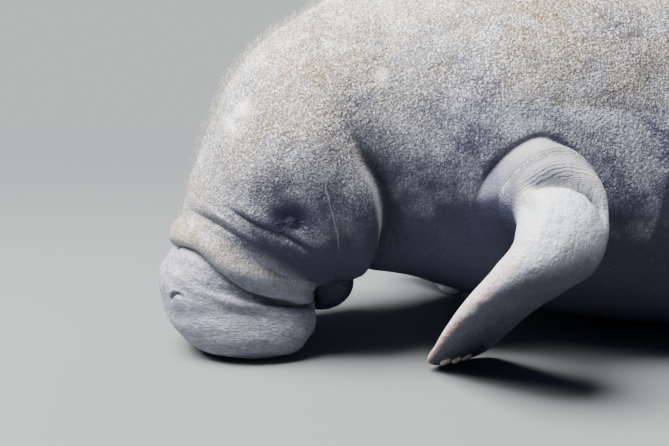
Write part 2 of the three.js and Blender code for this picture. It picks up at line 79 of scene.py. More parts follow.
# A fold's path gives its rib number at degrees down from the back. Its groove is deep, and closes over
# front and back millimetres from its bottom; the roll of skin behind it rises, and leans forward over
# it. It shows between two angles.
FOLDS = [
    {"path": [(0, 6.2), (25, 6.7), (42, 6.85), (65, 6.5), (90, 6), (107, 5.8), (122, 5.6), (137, 5.1),
              (150, 4.7), (180, 4.6)],
     "row": 6, "deep": 15, "front": 9, "back": 4.5, "rise": 6, "lean": 4, "behind": 17, "swell": 13,
     "from": -40, "to": 152, "fade": 12},
    {"path": [(0, 7.5), (60, 7.7), (93, 7.68), (104, 7.66), (119, 7.95), (127, 8.5), (140, 8.75), (180, 8.7)],
     "row": 7.7, "deep": 8, "front": 5, "back": 3, "rise": 3.5, "lean": 2, "behind": 13, "swell": 10,
     "from": 92, "to": 140, "fade": 12},
    {"path": [(0, 8.4), (74, 8.48), (110, 8.6), (180, 8.7)],
     "row": 8.5, "deep": 3, "front": 4, "back": 2.5, "rise": 1.5, "lean": 1, "behind": 12, "swell": 9,
     "from": 28, "to": 74, "fade": 14},
    {"path": [(0, 9.2), (50, 9.2), (72, 9.31), (88, 9.57), (100, 9.75), (180, 9.8)],
     "row": 9.5, "deep": 5, "front": 4.5, "back": 2.5, "rise": 2.5, "lean": 1.5, "behind": 11, "swell": 8,
     "from": 57, "to": 104, "fade": 10},
    {"path": [(0, 12), (60, 11.6), (89, 11.76), (107, 12), (126, 11.95), (142, 11.5), (155, 11.1), (180, 11)],
     "row": 12, "deep": 26, "front": 8, "back": 30, "rise": 0, "lean": 0, "behind": 20, "swell": 14,
     "from": 82, "to": 200, "fade": 22},
]
# The roll behind the mouth fold stays full down to the corner of the mouth: how far it is filled, where
# that starts in millimetres behind the fold and ends in rib numbers, and its degrees down with their fade.
ROLL = {"fill": 12, "starts": (2, 14), "ends": (6.7, 7.4), "shows": (124, 154, 12)}
STRAIGHT_ROWS = [0, 3.5, 10.3, 10.8, 13.2, LAST_RIB]  # rows that follow a rib, between the folds
DARK_FOLD = 12.0  # a fold this deep, in millimetres, gets full painted shade at its bottom
JOWL = {"rib": 11.2, "rise": 12, "wide": 0.8, "from": 60, "to": 150, "fade": 24}
EYE = {"rib": 9.98, "down": 88.0, "ball": 10.5, "sunk": 10.0}
SOCKET = {"deep": 8.0, "wide": 22.0}


def smooth_curve(knots, values, x):
    """Values at x of cubics through the knots, where the slope at a knot is that of the parabola
    through it and its two neighbours. Values may have several columns."""
    knots = np.asarray(knots, float)
    values = np.asarray(values, float).reshape(len(knots), -1)
    step = np.diff(knots)[:, None]
    slope = np.diff(values, axis=0) / step
    inner = (slope[:-1] * step[1:] + slope[1:] * step[:-1]) / (step[:-1] + step[1:])
    tangent = np.concatenate([slope[:1], inner, slope[-1:]])
    x = np.asarray(x, float)
    i = np.clip(np.searchsorted(knots, x, side="right") - 1, 0, len(knots) - 2)
    h = step[i, 0][..., None]
    s = np.clip((x - knots[i])[..., None] / h, 0, 1)
    return cubic(values[i], tangent[i] * h, values[i + 1], tangent[i + 1] * h, s)


def cubic(start, leaving, end, arriving, s):
    """A cubic from start to end, for s from 0 to 1, that has these slopes at its two ends."""
    return (start * (1 + 2 * s) * (1 - s) ** 2 + leaving * s * (1 - s) ** 2
            + end * s * s * (3 - 2 * s) + arriving * s * s * (s - 1))


def bell(x, width):
    """1 at x = 0, falling to 1/e at x = width."""
    return np.exp(-((x / width) ** 2))


def crease(away, front, back):
    """The depth of a tight fold, 1 at its bottom: it falls off as a steep curve that starts with a
    small round, at its own rate on either side."""
    reach = np.hypot(away, 1.0) / np.where(away < 0, front, back)
    return np.exp(-(reach ** 1.15))


def fade_in(start, end, x):
    """0 before start, 1 after end, and a smooth step between them."""
    s = np.clip((x - start) / (end - start), 0, 1)
    return s * s * (3 - 2 * s)


def band(start, end, fade, x):
    """1 between start and end, 0 outside, with smooth steps of plus and minus fade at both."""
    return fade_in(start - fade, start + fade, x) * (1 - fade_in(end - fade, end + fade, x))


def unit(vectors):
    """The same directions with length 1."""
    return vectors / np.maximum(np.linalg.norm(vectors, axis=-1, keepdims=True), 1e-9)


def degrees_down(angle):
    """Degrees down from the back on either side, for an angle that runs once round the body."""
    down = np.degrees(angle) % 360
    return np.minimum(down, 360 - down)


def angle_at(down, side):
    """The angle round the body, in radians, at degrees down from the back. side is -1 for the left."""
    return np.radians(down if side < 0 else 360 - down)


def on_left(points):
    """The same places with those on the right side mirrored to the left."""
    return points * [1, 0, 1] - np.abs(points) * [0, 1, 0]


def turned(x, z, degrees):
    """Places in a plane turned about 0, the first axis towards the second: x becomes
    x cos - z sin, and z becomes z cos + x sin."""
    c, s = np.cos(np.radians(degrees)), np.sin(np.radians(degrees))
    return x * c - z * s, z * c + x * s


def rounded(angle, full):
    """The radius of a superellipse of size 1 at an angle: (|cos|^full + |sin|^full)^(-1/full)."""
    return (np.abs(np.cos(angle)) ** full + np.abs(np.sin(angle)) ** full) ** (-1 / full)


def fold_rib(fold, down):
    """The rib number of a fold's path at degrees down from the back."""
    return smooth_curve(*zip(*fold["path"]), down)[..., 0]


back_steps = np.hypot(*np.diff(RIBS[:, 0:2], axis=0).T)
belly_steps = np.hypot(*np.diff(RIBS[:, 2:4], axis=0).T)
RIB_KNOTS = np.concatenate([[0], np.cumsum((back_steps + belly_steps) / 2)])
RIB_NUMBERS = np.arange(LAST_RIB + 1)


def loft(rib, angle):
    """The body without folds. At a rib number, a superellipse spans back to belly and side to side,
    its widest level lowered by low times the square of its width there, and its flanks moved along by
    bow times the square of their width."""
    curves = smooth_curve(RIB_KNOTS, RIBS, np.interp(rib, RIB_NUMBERS, RIB_KNOTS))
    back_x, back_z, belly_x, belly_z, half, full, low, bow = np.moveaxis(curves, -1, 0)
    radius = rounded(angle, full)
    up = radius * np.cos(angle)
    up = up - low * (1 - up ** 2)
    side = radius * np.sin(angle)
    rise_x, rise_z = (back_x - belly_x) / 2, (back_z - belly_z) / 2
    bend = bow * side * side / np.maximum(np.hypot(rise_x, rise_z), 1e-9)
    return np.stack([(back_x + belly_x) / 2 + rise_x * up + rise_z * bend,
                     -half * side,
                     (back_z + belly_z) / 2 + rise_z * up - rise_x * bend], -1)


RIB_STEP = 0.02  # for the loft's slopes, in rib numbers
TURN_STEP = 0.01  # and in radians


def frame_at(rib, angle):
    """The outward normal, the direction towards the tail, the millimetres per rib number, and the
    millimetres per radian round the body as a vector, from differences of the loft."""
    rib = np.clip(rib, RIB_STEP, LAST_RIB - RIB_STEP)
    along = (loft(rib + RIB_STEP, angle) - loft(rib - RIB_STEP, angle)) / (2 * RIB_STEP)
    across = (loft(rib, angle + TURN_STEP) - loft(rib, angle - TURN_STEP)) / (2 * TURN_STEP)
    return unit(np.cross(across, along)), unit(along), np.linalg.norm(along, axis=-1), across


def fold_marks(rib, angle, per_rib):
    """How far each place is raised, leant forward, and how deep in a groove it is, from 0 to 1, which sets
    the painted shade there.
    """
    down = degrees_down(angle)
    height, lean, groove = (np.zeros(np.shape(down)) for _ in range(3))
    for fold in FOLDS:
        away = (rib - fold_rib(fold, down)) * per_rib
        shows = band(fold["from"], fold["to"], fold["fade"], down)
        cut = crease(away, fold["front"], fold["back"])
        groove = np.maximum(groove, shows * cut ** 2 * min(1, fold["deep"] / DARK_FOLD))
        height += shows * (fold["rise"] * bell(away - fold["behind"], fold["swell"]) - fold["deep"] * cut)
        lean += shows * fold["lean"] * bell(away - fold["behind"] * 0.6, fold["swell"])
    away = (rib - fold_rib(FOLDS[0], down)) * per_rib
    full = fade_in(*ROLL["starts"], away) * (1 - fade_in(*ROLL["ends"], rib)) * band(*ROLL["shows"], down)
    height += ROLL["fill"] * full
    jowl = band(JOWL["from"], JOWL["to"], JOWL["fade"], down) * bell(rib - JOWL["rib"], JOWL["wide"])
    return height + JOWL["rise"] * jowl, lean, groove


# Soft unevenness of the fat under the hide, as waves along the body and round it: each is so many
# millimetres high, with its radians for each rib number, its turns from back to belly, and its phase.
UNEVEN = [(1.6, 1.7, 2.3, 0.4), (1.1, 3.1, 5.2, 1.9), (0.8, 5.3, 3.7, 4.1), (0.6, 7.9, 7.3, 2.6)]
PLAIN_END = 0.6  # rib numbers over which the relief fades out at nose and tail


def skin(rib, angle):
    """The loft moved out by the folds, the jowl, the eye sockets and the soft unevenness, with the
    chin laid over it, and flattened on the ground."""
    points = loft(rib, angle)
    normal, along, per_rib, _ = frame_at(rib, angle)
    height, lean, _ = fold_marks(rib, angle, per_rib)
    down = degrees_down(angle)
    for high, waves, turns, phase in UNEVEN:
        height = height + high * np.sin(waves * rib + phase) * np.cos(np.radians(turns * down) + phase)
    height = height - SOCKET["deep"] * bell(eye_distance(points), SOCKET["wide"])
    ends = fade_in(0, PLAIN_END, rib) * (1 - fade_in(LAST_RIB - PLAIN_END, LAST_RIB, rib))
    points = points + normal * (height * ends)[..., None] - along * (lean * ends)[..., None]
    points = with_chin(points, rib, angle)
    points[..., 2] = np.maximum(points[..., 2], 0)
    return points


eye_place = loft(EYE["rib"], angle_at(EYE["down"], -1))


def eye_distance(points):
    """Millimetres from the nearer eye's place on the loft."""
    return np.linalg.norm(on_left(points) - eye_place, axis=-1)


# The lower jaw hangs behind the lip pad: the lower part of an ellipsoid, drooping at the front.
JAW = {"at": (-16, 0, 82), "size": (46, 52, 36), "droop": 20.0, "front": -38.0}
JAW_PATCH = {"rib": 8.2, "ribs": 2.2, "wide": 26.0, "turn": 112.0, "reach": 1.1, "rim": (0.72, 1.08)}


def with_chin(points, rib, angle):
    """Wraps a disc of the skin under the head round the lower part of the jaw's ellipsoid. Distance
    from the disc's middle becomes the angle from the ellipsoid's lowest point, and the rim fades."""
    a = (rib - JAW_PATCH["rib"]) / JAW_PATCH["ribs"]
    b = (180 - degrees_down(angle)) / JAW_PATCH["wide"] * np.sign(np.sin(angle))
    reach = np.hypot(a, b)
    polar = np.radians(JAW_PATCH["turn"]) * np.minimum(reach, JAW_PATCH["reach"])
    scale = np.sin(polar) / np.maximum(reach, 1e-9)
    long, wide, high = JAW["size"]
    x, z = turned(long * scale * a, -high * np.cos(polar), JAW["droop"])
    jaw = np.stack([x, -wide * scale * b, z], -1) + JAW["at"]
    jaw[..., 0] = np.maximum(jaw[..., 0], JAW["front"])
    share = (1 - fade_in(*JAW_PATCH["rim"], reach))[..., None]
    return points * (1 - share) + jaw * share


# Rows and columns of the skin's grid. Rows lie about as far apart as SPACING says, in millimetres, at
# these row numbers; near a fold they follow it.
AROUND = 192
NEAR_FOLD = {"rows": 0.16, "closer": 0.5}  # how near, and the share by which rows lie closer there
SPACING = [(0, 6), (2, 5), (4, 3.6), (6, 3), (10.4, 3), (12.4, 4.2), (13, 6), (14.6, 7), (16, 20),
           (22, 20), (24, 13), (27, 7)]


def rib_of_row(row, angle):
    """The rib number of a row at an angle: rows between two held ones are spread evenly."""
    down = degrees_down(angle)
    held = [(fold["row"], fold_rib(fold, down)) for fold in FOLDS]
    held += [(row_held, np.full(np.shape(down), float(row_held))) for row_held in STRAIGHT_ROWS]
    held.sort(key=lambda pair: pair[0])
    numbers = np.array([number for number, _ in held])
    ribs = np.stack([rib for _, rib in held], -1)
    i = np.clip(np.searchsorted(numbers, row, side="right") - 1, 0, len(numbers) - 2)
    share = (row - numbers[i]) / (numbers[i + 1] - numbers[i])
    fore = np.take_along_axis(ribs, i[..., None], -1)[..., 0]
    aft = np.take_along_axis(ribs, i[..., None] + 1, -1)[..., 0]
    return fore + share * (aft - fore)


fine_rows = np.linspace(0, LAST_RIB, 6000)
fine_lengths = np.interp(fine_rows, RIB_NUMBERS, RIB_KNOTS)
near_fold = np.max([bell(fine_rows - fold["row"], NEAR_FOLD["rows"]) for fold in FOLDS[:4]], axis=0)
spacing = np.interp(fine_rows, *zip(*SPACING)) * (1 - NEAR_FOLD["closer"] * near_fold)
counts = np.concatenate([[0], np.cumsum(np.diff(fine_lengths) / spacing[1:])])
row_count = int(round(counts[-1]))
ROWS = np.interp(np.linspace(0, counts[-1], row_count + 1), counts, fine_rows)
ANGLES = 2 * np.pi * np.arange(AROUND) / AROUND

row_grid, angle_grid = np.meshgrid(ROWS, ANGLES, indexing="ij")
rib_grid = rib_of_row(row_grid, angle_grid)
body_points = skin(rib_grid, angle_grid)
body_index = np.arange(row_grid.size).reshape(row_grid.shape)
covered = np.ones((len(ROWS) - 1, AROUND), bool)  # the grid's faces that aren't cut out


def window(ribs, downs, side):
    """Cuts a rectangle out of the body's grid between two rib numbers and two degrees down. Returns its
    rim, going round it once, as vertex numbers, rib numbers and angles."""
    rows = np.flatnonzero((ROWS >= ribs[0]) & (ROWS <= ribs[1]))
    lowest, highest = sorted(angle_at(down, side) for down in downs)
    columns = np.flatnonzero((ANGLES >= lowest) & (ANGLES <= highest))
    covered[rows[0]:rows[-1], columns[0]:columns[-1]] = False
    rim_rows = np.concatenate([np.full(len(columns) - 1, rows[0]), rows[:-1],
                               np.full(len(columns) - 1, rows[-1]), rows[:0:-1]])
    rim_columns = np.concatenate([columns[:-1], np.full(len(rows) - 1, columns[-1]),
                                  columns[:0:-1], np.full(len(rows) - 1, columns[0])])
    return (body_index[rim_rows, rim_columns], rib_grid[rim_rows, rim_columns],
            angle_grid[rim_rows, rim_columns])


def ring_faces(rings):
    """Four-sided faces between rings of vertex numbers, each ring one row of an array."""
    here, there = rings, np.roll(rings, -1, axis=1)
    return np.stack([here[:-1], there[:-1], there[1:], here[1:]], -1).reshape(-1, 4)


skin_points = [body_points.reshape(-1, 3)]
skin_quads = []
skin_fans = []
skin_ribs = [rib_grid.ravel()]
skin_angles = [angle_grid.ravel()]
skin_limbs = [np.zeros((rib_grid.size, 3))]  # millimetres along a limb, its front edge and share of a turn


def add_rings(rim, points, ribs, angles, limbs=None):
    """Joins rings of new points to a rim and closes the last ring on its middle."""
    limbs = np.zeros(ribs.shape + (3,)) if limbs is None else limbs
    start = sum(len(p) for p in skin_points)
    count, around = points.shape[:2]
    numbers = start + np.arange(count * around).reshape(count, around)
    middle = start + count * around
    skin_points.extend([points.reshape(-1, 3), points[-1].mean(0)[None]])
    skin_ribs.extend([ribs.ravel(), ribs[-1].mean()[None]])
    skin_angles.extend([angles.ravel(), angles[-1].mean()[None]])
    skin_limbs.extend([limbs.reshape(-1, 3), limbs[-1].mean(0)[None]])
    skin_quads.append(ring_faces(np.vstack([rim[None], numbers])))
    last = numbers[-1]
    skin_fans.append(np.stack([last, np.roll(last, -1), np.full(around, middle)], -1))


# The eyes' lids: a round muscle closes them like a drawn purse, so the opening is a short slit in a low
# dome over the ball, at the bottom of a hollow darkened by painted shade. They are part of the skin, on finer
# rings.
EYE_WINDOW = {"ribs": 0.5, "downs": 11.0, "rings": 46, "power": 0.8}
OPENING = {"half": 6.0, "high": 0.55, "tilt": 48.0}  # millimetres, and degrees down from towards the tail
LID = {"clear": 1.5, "blend": 1.6, "brim": 11, "edge": ((0.5, 0.02), (1.4, 0.06), (3.0, 0.10), (6.0, 0.20))}
# Fine wrinkles that meet at the closed eye, with bends that come three times round it, and finer ones.
PUCKER = {"high": 0.55, "lines": 19, "from": 5.0, "to": 20.0, "fade": 4, "bend": 1.3, "finer": 2.6}


def eye_frame(side):
    """The middle of the ball, and unit vectors outwards, towards the tail and down, at one eye."""
    normal, along, *_ = frame_at(EYE["rib"], angle_at(EYE["down"], side))
    surface = loft(EYE["rib"], angle_at(EYE["down"], side))
    middle = surface - normal * (SOCKET["deep"] / 2 + EYE["sunk"])
    lower = unit(np.cross(normal, along))
    return middle, normal, along, lower * np.sign(-lower[2])


def feature_window(feature, cut, side):
    """Cuts a window round a feature of the face. Returns its rim, and the offsets of the rim from the
    feature's place in millimetres."""
    rim = window((feature["rib"] - cut["ribs"], feature["rib"] + cut["ribs"]),
                 (feature["down"] - cut["downs"], feature["down"] + cut["downs"]), side)
    return rim, loft(*rim[1:]) - loft(feature["rib"], angle_at(feature["down"], side))


def inward_rings(rim, feature, cut, side, inner):
    """The rib numbers and angles of rings that go from a rim in to a last ring, which lies at inner
    from the feature's place, in millimetres along the body and round it. Each point goes straight."""
    rib, angle = feature["rib"], angle_at(feature["down"], side)
    _, _, per_rib, across = frame_at(rib, angle)
    t = np.linspace(0, 1, cut["rings"] + 1)[1:, None] ** cut["power"]
    ribs, angles = (edge * (1 - t) + (at + off / size) * t for edge, at, off, size in
                    zip(rim[1:], (rib, angle), inner, (per_rib, np.linalg.norm(across))))
    return ribs, angles


for side in (-1, 1):
    middle, normal, along, lower = eye_frame(side)
    rim, rim_offsets = feature_window(EYE, EYE_WINDOW, side)
    turn = np.arctan2(rim_offsets @ lower, rim_offsets @ along)
    level = turn - np.radians(OPENING["tilt"])
    u, v = turned(OPENING["half"] * np.cos(level), OPENING["high"] * np.sin(level), OPENING["tilt"])
    ribs, angles = inward_rings(rim, EYE, EYE_WINDOW, side, (u, -side * v))
    points = skin(ribs, angles)
    from_ball = points - middle
    out = from_ball @ normal
    flat = np.linalg.norm(from_ball - out[..., None] * normal, axis=-1)
    dome = np.sqrt(np.maximum((EYE["ball"] + LID["clear"]) ** 2 - flat ** 2, 0))
    dome = dome - np.maximum(flat - LID["brim"], 0)
    blend = LID["blend"]
    raised = blend * np.logaddexp(dome / blend, out / blend)
    lines = PUCKER["lines"] * turn
    wave = np.sin(lines + PUCKER["bend"] * np.sin(3 * turn)) + 0.5 * np.sin(PUCKER["finer"] * lines)
    raised = raised + PUCKER["high"] * wave * band(PUCKER["from"], PUCKER["to"], PUCKER["fade"], flat)
    points = points + normal * (raised - out)[..., None]
    # The lid's edge is rounded, and turns in over the ball until it is hidden behind its front: each of
    # its rings lies deeper, and nearer the ball's axis by a share.
    edge = points[-1]
    axis = middle + ((edge - middle) @ normal)[:, None] * normal
    lip = [edge * (1 - share) + axis * share - depth * normal for depth, share in LID["edge"]]
    ribs, angles = (np.pad(rings, ((0, len(lip)), (0, 0)), "edge") for rings in (ribs, angles))
    add_rings(rim[0], np.concatenate([points, lip]), ribs, angles)


# The nostrils: each closes with its own plug of flesh, so what shows is a crescent slit over the plug,
# with a thin raised rim. Also part of the skin.
NOSTRIL = {"rib": 4.1, "down": 36.0, "slit": 13.0, "wide": 2.8, "deep": 5.5, "fade": (42, 82), "tilt": 22.0,
           "plug": 1.6, "plug_wide": 9, "rim": 0.6, "rim_out": 18, "rim_wide": 3}
NOSTRIL_WINDOW = {"ribs": 0.62, "downs": 13.0, "rings": 34, "power": 1, "last": 0.6}

for side in (-1, 1):
    place = (NOSTRIL["rib"], angle_at(NOSTRIL["down"], side))
    _, along, _, across = frame_at(*place)
    rim, rim_offsets = feature_window(NOSTRIL, NOSTRIL_WINDOW, side)
    turn = np.arctan2(rim_offsets @ unit(across), rim_offsets @ along)
    inner = (NOSTRIL_WINDOW["last"] * np.cos(turn), NOSTRIL_WINDOW["last"] * np.sin(turn))
    ribs, angles = inward_rings(rim, NOSTRIL, NOSTRIL_WINDOW, side, inner)
    flat = loft(ribs, angles) - loft(*place)
    away = np.linalg.norm(flat, axis=-1)
    tilt = np.radians(NOSTRIL["tilt"])
    up = (flat[..., 2] * np.cos(tilt) - side * flat[..., 1] * np.sin(tilt)) / np.maximum(away, 1e-6)
    from_top = np.degrees(np.arccos(np.clip(up, -1, 1)))
    shown = 1 - fade_in(*NOSTRIL["fade"], from_top)
    sunk = NOSTRIL["deep"] * bell(away - NOSTRIL["slit"], NOSTRIL["wide"]) * shown
    rim_raised = NOSTRIL["rim"] * bell(away - NOSTRIL["rim_out"], NOSTRIL["rim_wide"]) * shown
    raised = NOSTRIL["plug"] * bell(away, NOSTRIL["plug_wide"]) + rim_raised - sunk
    points = skin(ribs, angles) + frame_at(ribs, angles)[0] * raised[..., None]
    add_rings(rim[0], points, ribs, angles)


# The flippers: the upper arm stands out of the flank as a low mound with nested folds, and the blade
# hangs from it, a stiff, rounded paddle with no wrist showing. Rings go out from a window in the flank.
# The columns are: place x, y, z (left side), wide, thick, face, foil, shift, swing share.
LIMB = np.array([
    [205, -262, 241, 122, 124, 0, 0, 0, 0.0],
    [199, -292, 229, 106, 100, 0, 0, 0, 0.5],
    [185, -322, 209, 102, 80, 0, 0.05, 0, 1.0],
    [171, -331, 183, 104, 66, 2, 0.15, 0, 1.0],
    [157, -312, 152, 110, 52, 4, 0.3, 0, 1.0],
    [145, -276, 117, 114, 40, 6, 0.4, 2, 1.0],
    [137, -236, 79, 114, 31, 9, 0.45, 4, 1.0],
    [130, -198, 41, 112, 23, 12, 0.45, 8, 1.0],
    [123, -170, 12, 102, 16, 14, 0.4, 11, 1.0],
    [120, -160, 1, 78, 10, 14, 0.2, 11, 1.0],
], float)
LIMB_KNOTS = np.concatenate([[0], np.cumsum(np.linalg.norm(np.diff(LIMB[:, :3], axis=0), axis=1))])
LIMB_WINDOW = {"ribs": (13.1, 14.75), "downs": (77.0, 134.0)}
FOOT = {"at": (199, 236), "size": (66, 79), "full": 1.65, "tilt": 0}  # the mound's edge, from the side
FLANK_RINGS = 14
BLADE_RINGS = 66
# The sleeve between flank and blade: the lengths of its cubic's slopes in millimetres, and how far
# along the blade the second is taken.
SLEEVE = {"rings": 26, "leaving": 16.0, "arriving": 40.0, "later": 4.0}
TIP = 16.0  # millimetres over which the blade's end is rounded
FRONT_EDGE = {"wide": 0.035, "from": (60, 120)}  # the worn edge, and where along the limb it sets in
SHOULDER = (200.0, 222.0)
SWINGS = {-1: 0.0, 1: 48.0}  # the right flipper is swung back, in degrees


def limb_point(k, turn, side):
    """A limb's surface at a distance along its path and a turn round it, from the trailing edge: an
    oval across the path, thinner towards the trailing edge, swung about the shoulder."""
    place_and_size = smooth_curve(LIMB_KNOTS, LIMB, k)
    at = place_and_size[..., :3]
    wide, thick, face, foil, shift, share = np.moveaxis(place_and_size[..., 3:], -1, 0)
    ahead = smooth_curve(LIMB_KNOTS, LIMB[:, :3], np.minimum(k + 1, LIMB_KNOTS[-1]))
    before = smooth_curve(LIMB_KNOTS, LIMB[:, :3], np.maximum(k - 1, 0))
    tangent = unit(ahead - before)
    width = np.stack([np.cos(np.radians(face)), np.sin(np.radians(face)), np.zeros_like(face)], -1)
    width = unit(width - (width * tangent).sum(-1, keepdims=True) * tangent)
    depth = np.cross(tangent, width)
    across, out = np.cos(turn), np.sin(turn)
    offset = width * (wide / 2 * across + shift)[..., None]
    offset = offset + depth * (thick / 2 * out * (1 - foil * across))[..., None]
    x, y, z = np.moveaxis(at + offset, -1, 0)
    x, z = turned(x - SHOULDER[0], z - SHOULDER[1], SWINGS[side] * np.clip(share, 0, 1))
    return np.stack([x + SHOULDER[0], -side * y, z + SHOULDER[1]], -1)


def on_ellipse(x, z, ellipse):
    """How far out places are, where 1 is on a superellipse, (|u|^full + |v|^full)^(1/full), their
    direction from its middle in degrees from straight up, and their distance from it."""
    x, z = x - ellipse["at"][0], z - ellipse["at"][1]
    u, v = np.array(turned(x, z, ellipse["tilt"])) / np.reshape(ellipse["size"], (2, 1))
    full = ellipse["full"]
    return (np.abs(u) ** full + np.abs(v) ** full) ** (1 / full), np.degrees(np.arctan2(u, v)), np.hypot(x, z)


def place_on_flank(x, z, rib, angle):
    """The rib numbers and angles where the loft has this x and z: Newton's steps from a first guess."""
    step = 0.01
    for _ in range(12):
        here = loft(rib, angle)
        by_rib = (loft(rib + step, angle) - here) / step
        by_angle = (loft(rib, angle + step) - here) / step
        det = by_rib[:, 0] * by_angle[:, 2] - by_rib[:, 2] * by_angle[:, 0]
        off_x, off_z = x - here[:, 0], z - here[:, 2]
        rib = rib + (off_x * by_angle[:, 2] - off_z * by_angle[:, 0]) / det
        angle = angle + (off_z * by_rib[:, 0] - off_x * by_rib[:, 2]) / det
    return rib, angle


for side in (-1, 1):
    rim, rim_ribs, rim_angles = window(LIMB_WINDOW["ribs"], LIMB_WINDOW["downs"], side)
    rim_points = skin(rim_ribs, rim_angles)
    trailing, outer, front = limb_point(np.zeros(3), np.array([0, np.pi / 2, np.pi]), side)
    ring_middle = (trailing + front) / 2
    to_edge, to_outer = trailing - ring_middle, outer - ring_middle
    from_middle = rim_points - ring_middle
    turn = np.unwrap(np.arctan2(from_middle @ to_outer / (to_outer @ to_outer),
                                from_middle @ to_edge / (to_edge @ to_edge)))
    # The flank goes on to the mound's foot.
    reach = on_ellipse(rim_points[:, 0], rim_points[:, 2], FOOT)[0]
    foot_x = FOOT["at"][0] + (rim_points[:, 0] - FOOT["at"][0]) / reach
    foot_z = FOOT["at"][1] + (rim_points[:, 2] - FOOT["at"][1]) / reach
    foot_ribs, foot_angles = place_on_flank(foot_x, foot_z, rim_ribs, rim_angles)
    s = np.linspace(0, 1, FLANK_RINGS + 1)[1:, None]
    flank_ribs = rim_ribs * (1 - s) + foot_ribs * s
    flank_angles = rim_angles * (1 - s) + foot_angles * s
    flank = skin(flank_ribs, flank_angles)
    # The sleeve: from each point of the foot, a cubic that leaves along the flank and arrives along
    # the arm.
    end = limb_point(np.zeros(len(turn)), turn, side)
    later = limb_point(np.full(len(turn), SLEEVE["later"]), turn, side)
    arriving = unit(later - end) * SLEEVE["arriving"]
    leaving = unit(flank[-1] - flank[-2]) * SLEEVE["leaving"]
    s = np.linspace(0, 1, SLEEVE["rings"] + 1)[1:, None, None]
    sleeve = cubic(flank[-1], leaving, end, arriving, s)
    # The blade, with a rounded tip.
    k = LIMB_KNOTS[-1] * np.linspace(0, 1, BLADE_RINGS + 1)[1:]
    k_grid, turn_grid = np.meshgrid(k, turn, indexing="ij")
    blade = limb_point(k_grid, turn_grid, side)
    middles = blade.mean(1, keepdims=True)
    to_tip = (LIMB_KNOTS[-1] - k)[:, None, None]
    rounding = np.sqrt(np.maximum(1 - np.maximum(1 - to_tip / TIP, 0) ** 2, 0.02))
    blade = middles + (blade - middles) * rounding
    rings = np.concatenate([flank, sleeve, blade])
    lengths = np.linalg.norm(np.diff(np.concatenate([rim_points[None], rings]), axis=0), axis=-1)
    distance = np.cumsum(lengths, axis=0)
    distance = distance - distance[FLANK_RINGS + SLEEVE["rings"] - 1]
    rings[..., 2] = np.maximum(rings[..., 2], 0)
    rest = (SLEEVE["rings"] + BLADE_RINGS, 1)
    ribs = np.concatenate([flank_ribs, np.tile(foot_ribs, rest)])
    angles = np.concatenate([flank_angles, np.tile(foot_angles, rest)])
    front = bell(1 + np.cos(turn), FRONT_EDGE["wide"]) * fade_in(*FRONT_EDGE["from"], distance)
    share = np.broadcast_to(np.arange(len(turn)) / len(turn), distance.shape)
    add_rings(rim, rings, ribs, angles, np.stack([distance, front, share], -1))

first_quads = np.stack([body_index[:-1], np.roll(body_index, -1, 1)[:-1],
                        np.roll(body_index, -1, 1)[1:], body_index[1:]], -1)
body_quads = first_quads[1:-1][covered[1:-1]]
nose = first_quads[0][:, [0, 2, 3]]
tail = first_quads[-1][:, [0, 1, 2]]
nose[:, 0] = body_index[0, 0]
tail[:, 2] = body_index[-1, 0]

quads = np.concatenate([body_quads, *skin_quads])
triangles = np.concatenate([nose, tail, *skin_fans])
points = np.concatenate(skin_points)


# Folds round the arm, each an arch on an ellipse seen from the side, in millimetres: the mound's edge
# on the flank, a fold across the mound, and the deep one under which the blade comes out.
ARM_FOLDS = [
    {**FOOT, "from": -85, "to": 60, "swing": 0,
     "out": 215, "deep": 4.0, "front": 3.5, "back": 8.0, "rise": 3.0, "behind": 14.0},
    {"at": (196, 222), "size": (60, 74), "full": 2, "tilt": 4, "from": -82, "to": -4, "swing": 0.4,
     "out": 258, "deep": 6.0, "front": 3.0, "back": 9.0, "rise": 3.0, "behind": 12.0},
    {"at": (180, 222), "size": (42, 44), "full": 2, "tilt": 0, "from": -72, "to": 78, "swing": 0.7,
     "out": 294, "deep": 13.0, "front": 10.0, "back": 3.5, "rise": 5.0, "behind": -20.0},
]
# For all of them: the fades at their ends in degrees and out from the flank in millimetres, the width
# of the roll behind, how much wider the painted shade is in front, and the depth that gets full painted
# shade.
ARM_FOLD = {"ends": 16, "out": 12, "swell": 11, "shade": 1.5, "dark": 11}


def vertex_normals(places):
    """Unit normals at the skin's vertices: sums of the normals of the faces round each."""
    across = places[quads[:, 2]] - places[quads[:, 0]]
    face_normals = np.cross(across, places[quads[:, 3]] - places[quads[:, 1]])
    sums = [np.bincount(quads.ravel(), np.repeat(face_normals[:, c], 4), len(places)) for c in range(3)]
    return unit(np.stack(sums, -1))


height = np.zeros(len(points))
arm_grooves = np.zeros(len(points))
for side in (-1, 1):
    for fold in ARM_FOLDS:
        x, z = turned(points[:, 0] - SHOULDER[0], points[:, 2] - SHOULDER[1], -SWINGS[side] * fold["swing"])
        reach, towards, far = on_ellipse(x + SHOULDER[0], z + SHOULDER[1], fold)
        away = (1 - reach) * far / np.maximum(reach, 1e-6)
        shows = band(fold["from"], fold["to"], ARM_FOLD["ends"], towards)
        outside = (fold["out"] - ARM_FOLD["out"], fold["out"] + ARM_FOLD["out"])
        shows = shows * fade_in(*outside, side * points[:, 1])
        cut = crease(away, fold["front"], fold["back"])
        height += shows * (fold["rise"] * bell(away - fold["behind"], ARM_FOLD["swell"]) - fold["deep"] * cut)
        # Painted shade in the fold's groove, wider in front.
        shade = crease(away, ARM_FOLD["shade"] * fold["front"], fold["back"])
        shade = shade * min(1, fold["deep"] / ARM_FOLD["dark"])
        arm_grooves = np.maximum(arm_grooves, shows * shade)
points = points + vertex_normals(points) * height[:, None]
points[:, 2] = np.maximum(points[:, 2], 0)

